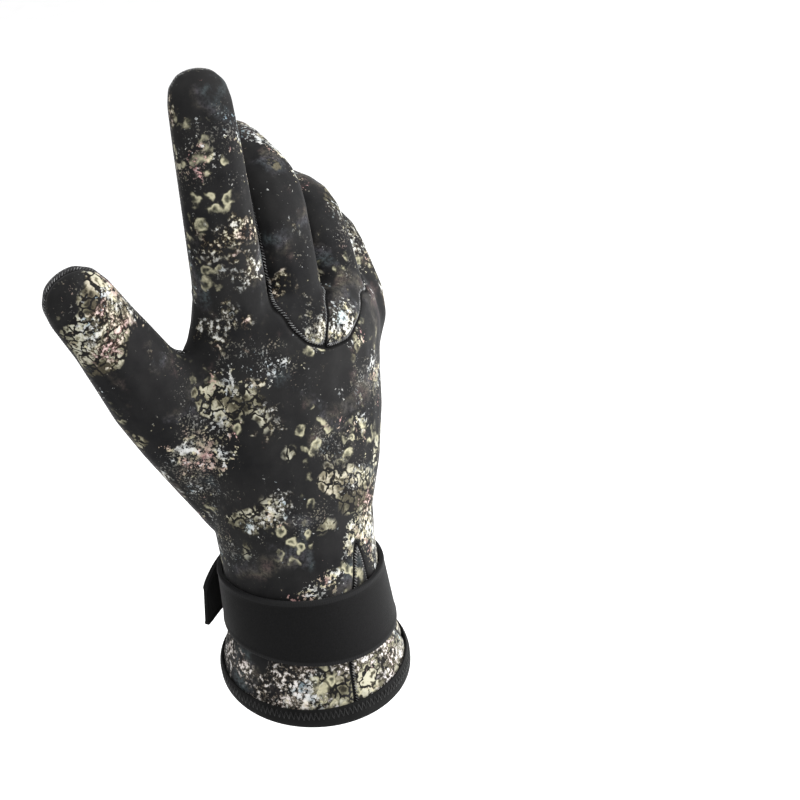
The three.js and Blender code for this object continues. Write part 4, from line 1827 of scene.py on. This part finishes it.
@dataclass(frozen=True)
class Studio:
    """A pale floor, soft light and the camera at the photograph's angle."""

    aim: tuple[float, float, float] = (0.0, 0.0, 47 * MM)
    aim_pixel: tuple[float, float] = (300.0, 559.0)
    middle_pixel: float = 400.0
    azimuth: float = -30.0
    elevation: float = 30.0
    roll: float = 9.0
    distance: float = 700 * MM
    focal_pixels: float = 1790.0
    sensor: float = 36.0
    clip: tuple[float, float] = (0.05, 50.0)
    floor_drop: float = 120 * MM
    floor_size: float = 60.0
    lit_place: tuple[float, float, float] = (0.0, 0.0, 120 * MM)
    lamps: tuple = (
        ("key", (0.60, 0.70, 0.60), 0.7, 15.0),
        ("fill", (-0.4, 0.3, 1.0), 1.0, 4.0),
        ("rim", (0.95, 0.1, -0.12), 0.5, 16.0),
    )

    def axes(self) -> tuple[Vector, Vector, Vector]:
        """Works out the picture's directions.

        Returns:
            The ways back to the camera, to the picture's right and to its top.
        """
        a, e, r = (math.radians(v) for v in (self.azimuth, self.elevation, self.roll))
        back = Vector((math.sin(a) * math.cos(e), -math.cos(a) * math.cos(e), math.sin(e)))
        level = Vector((math.cos(a), math.sin(a), 0.0))
        above = back.cross(level)
        right = level * math.cos(r) - above * math.sin(r)
        top = level * math.sin(r) + above * math.cos(r)
        return back, right, top

    def camera(self) -> None:
        """Sets the camera up, turned to the picture's middle."""
        back, right, top = self.axes()
        eye = Vector(self.aim) + back * self.distance
        aside = self.middle_pixel - self.aim_pixel[0]
        above = self.aim_pixel[1] - self.middle_pixel
        look = (right * aside + top * above - back * self.focal_pixels).normalized()
        side = (right - look * right.dot(look)).normalized()
        up = side.cross(look)
        data = bpy.data.cameras.new("camera")
        data.sensor_width = self.sensor
        data.lens = self.focal_pixels * self.sensor / (2 * self.middle_pixel)
        data.clip_start, data.clip_end = self.clip
        camera = bpy.data.objects.new("camera", data)
        bpy.context.scene.collection.objects.link(camera)
        turn = Matrix((side, up, -look)).transposed().to_4x4()
        camera.matrix_world = Matrix.Translation(eye) @ turn
        bpy.context.scene.camera = camera

    def floor(self) -> None:
        """Lays the pale floor."""
        bpy.ops.mesh.primitive_plane_add(size=self.floor_size, location=(0, 0, -self.floor_drop))
        floor = bpy.context.object
        floor.name = "pale_floor"
        shader = Shader("pale_floor")
        grain = shader.noise(shader.place(), 30.0, 3.0)
        colour = shader.ramp(grain, (0.3, (0.90, 0.90, 0.90)), (0.7, (0.93, 0.93, 0.93)))
        shader.finish(colour, 0.9, None, Specular_IOR_Level=0.1)
        floor.data.materials.append(shader.material)

    def lamp(self, name: str, place: tuple, size: float, power: float) -> None:
        """Hangs one soft lamp that faces the glove.

        Args:
            name: The lamp's name.
            place: Where it hangs, in metres along the picture's right, its top and back to the camera.
            size: Its side.
            power: Its power, in watts.
        """
        back, right, top = self.axes()
        middle = Vector(self.lit_place)
        at = middle + right * place[0] + top * place[1] + back * place[2]
        data = bpy.data.lights.new(name, "AREA")
        data.size = size
        data.energy = power
        lamp = bpy.data.objects.new(name, data)
        bpy.context.scene.collection.objects.link(lamp)
        turn = (at - middle).to_track_quat("Z", "Y").to_matrix().to_4x4()
        lamp.matrix_world = Matrix.Translation(at) @ turn

    def light(self) -> None:
        """Lights the scene."""
        world = bpy.data.worlds.new("studio")
        world.use_nodes = True
        sky = world.node_tree.nodes["Background"].inputs
        sky["Color"].default_value = (1.0, 1.0, 1.0, 1.0)
        sky["Strength"].default_value = 1.0
        bpy.context.scene.world = world
        for name, place, size, power in self.lamps:
            self.lamp(name, place, size, power)
        bpy.context.scene.view_settings.view_transform = "Standard"


@dataclass
class Glove:
    """The whole glove, from its skin to its last stitch."""

    skin: Skin = field(default_factory=Skin)
    lining_cloth: PlainCloth = PlainCloth("neoprene_lining", grain_mm=1.2, shade=0.008, sheen=0.05)
    hem_cloth: PlainCloth = PlainCloth("hem_cloth", grain_mm=0.7, shade=0.003, sheen=0.04)
    seam_thread: Thread = Thread("seam_thread", shade=0.085)
    hem_thread: Thread = Thread("hem_thread", shade=0.006)
    sewing_order: tuple = (
        "middle_finger_back", "ring_finger_back", "palm_panel", "cuff_gusset", "cuff_palm_panel", "back_panel"
    )

    def build(self) -> None:
        """Builds and dresses every piece."""
        self.skin.build()
        printed, grip = PrintedNeoprene().material(), GripNeoprene().material()
        panels = [Panel(node, Slot.GRIP if node == "palm_panel" else Slot.PRINT) for node in PANELS]
        for panel in panels:
            made = panel.build(self.skin)
            panel.dress(made, grip if panel.slot is Slot.GRIP else printed)
        lining = Lining().build(self.skin)
        place_piece(lining, Slot.BAND, self.lining_cloth.material())
        in_order = sorted(panels, key=lambda panel: self.sewing_order.index(panel.node))
        stitches = SeamStitches().build(self.skin, in_order)
        place_piece(stitches, Slot.BAND, self.seam_thread.material())
        strap = WristStrap()
        strap.dress(strap.build())
        hem = HemBand()
        band = hem.build()
        place_piece(band, Slot.BAND, self.hem_cloth.material(), "hem_band")
        place_piece(hem.sew(band), Slot.BAND, self.hem_thread.material())


def main() -> None:
    """Builds the glove and its studio."""
    logging.basicConfig(level=logging.INFO, format="%(message)s")
    Glove().build()
    studio = Studio()
    studio.floor()
    studio.light()
    studio.camera()


if __name__ == "__main__":
    main()
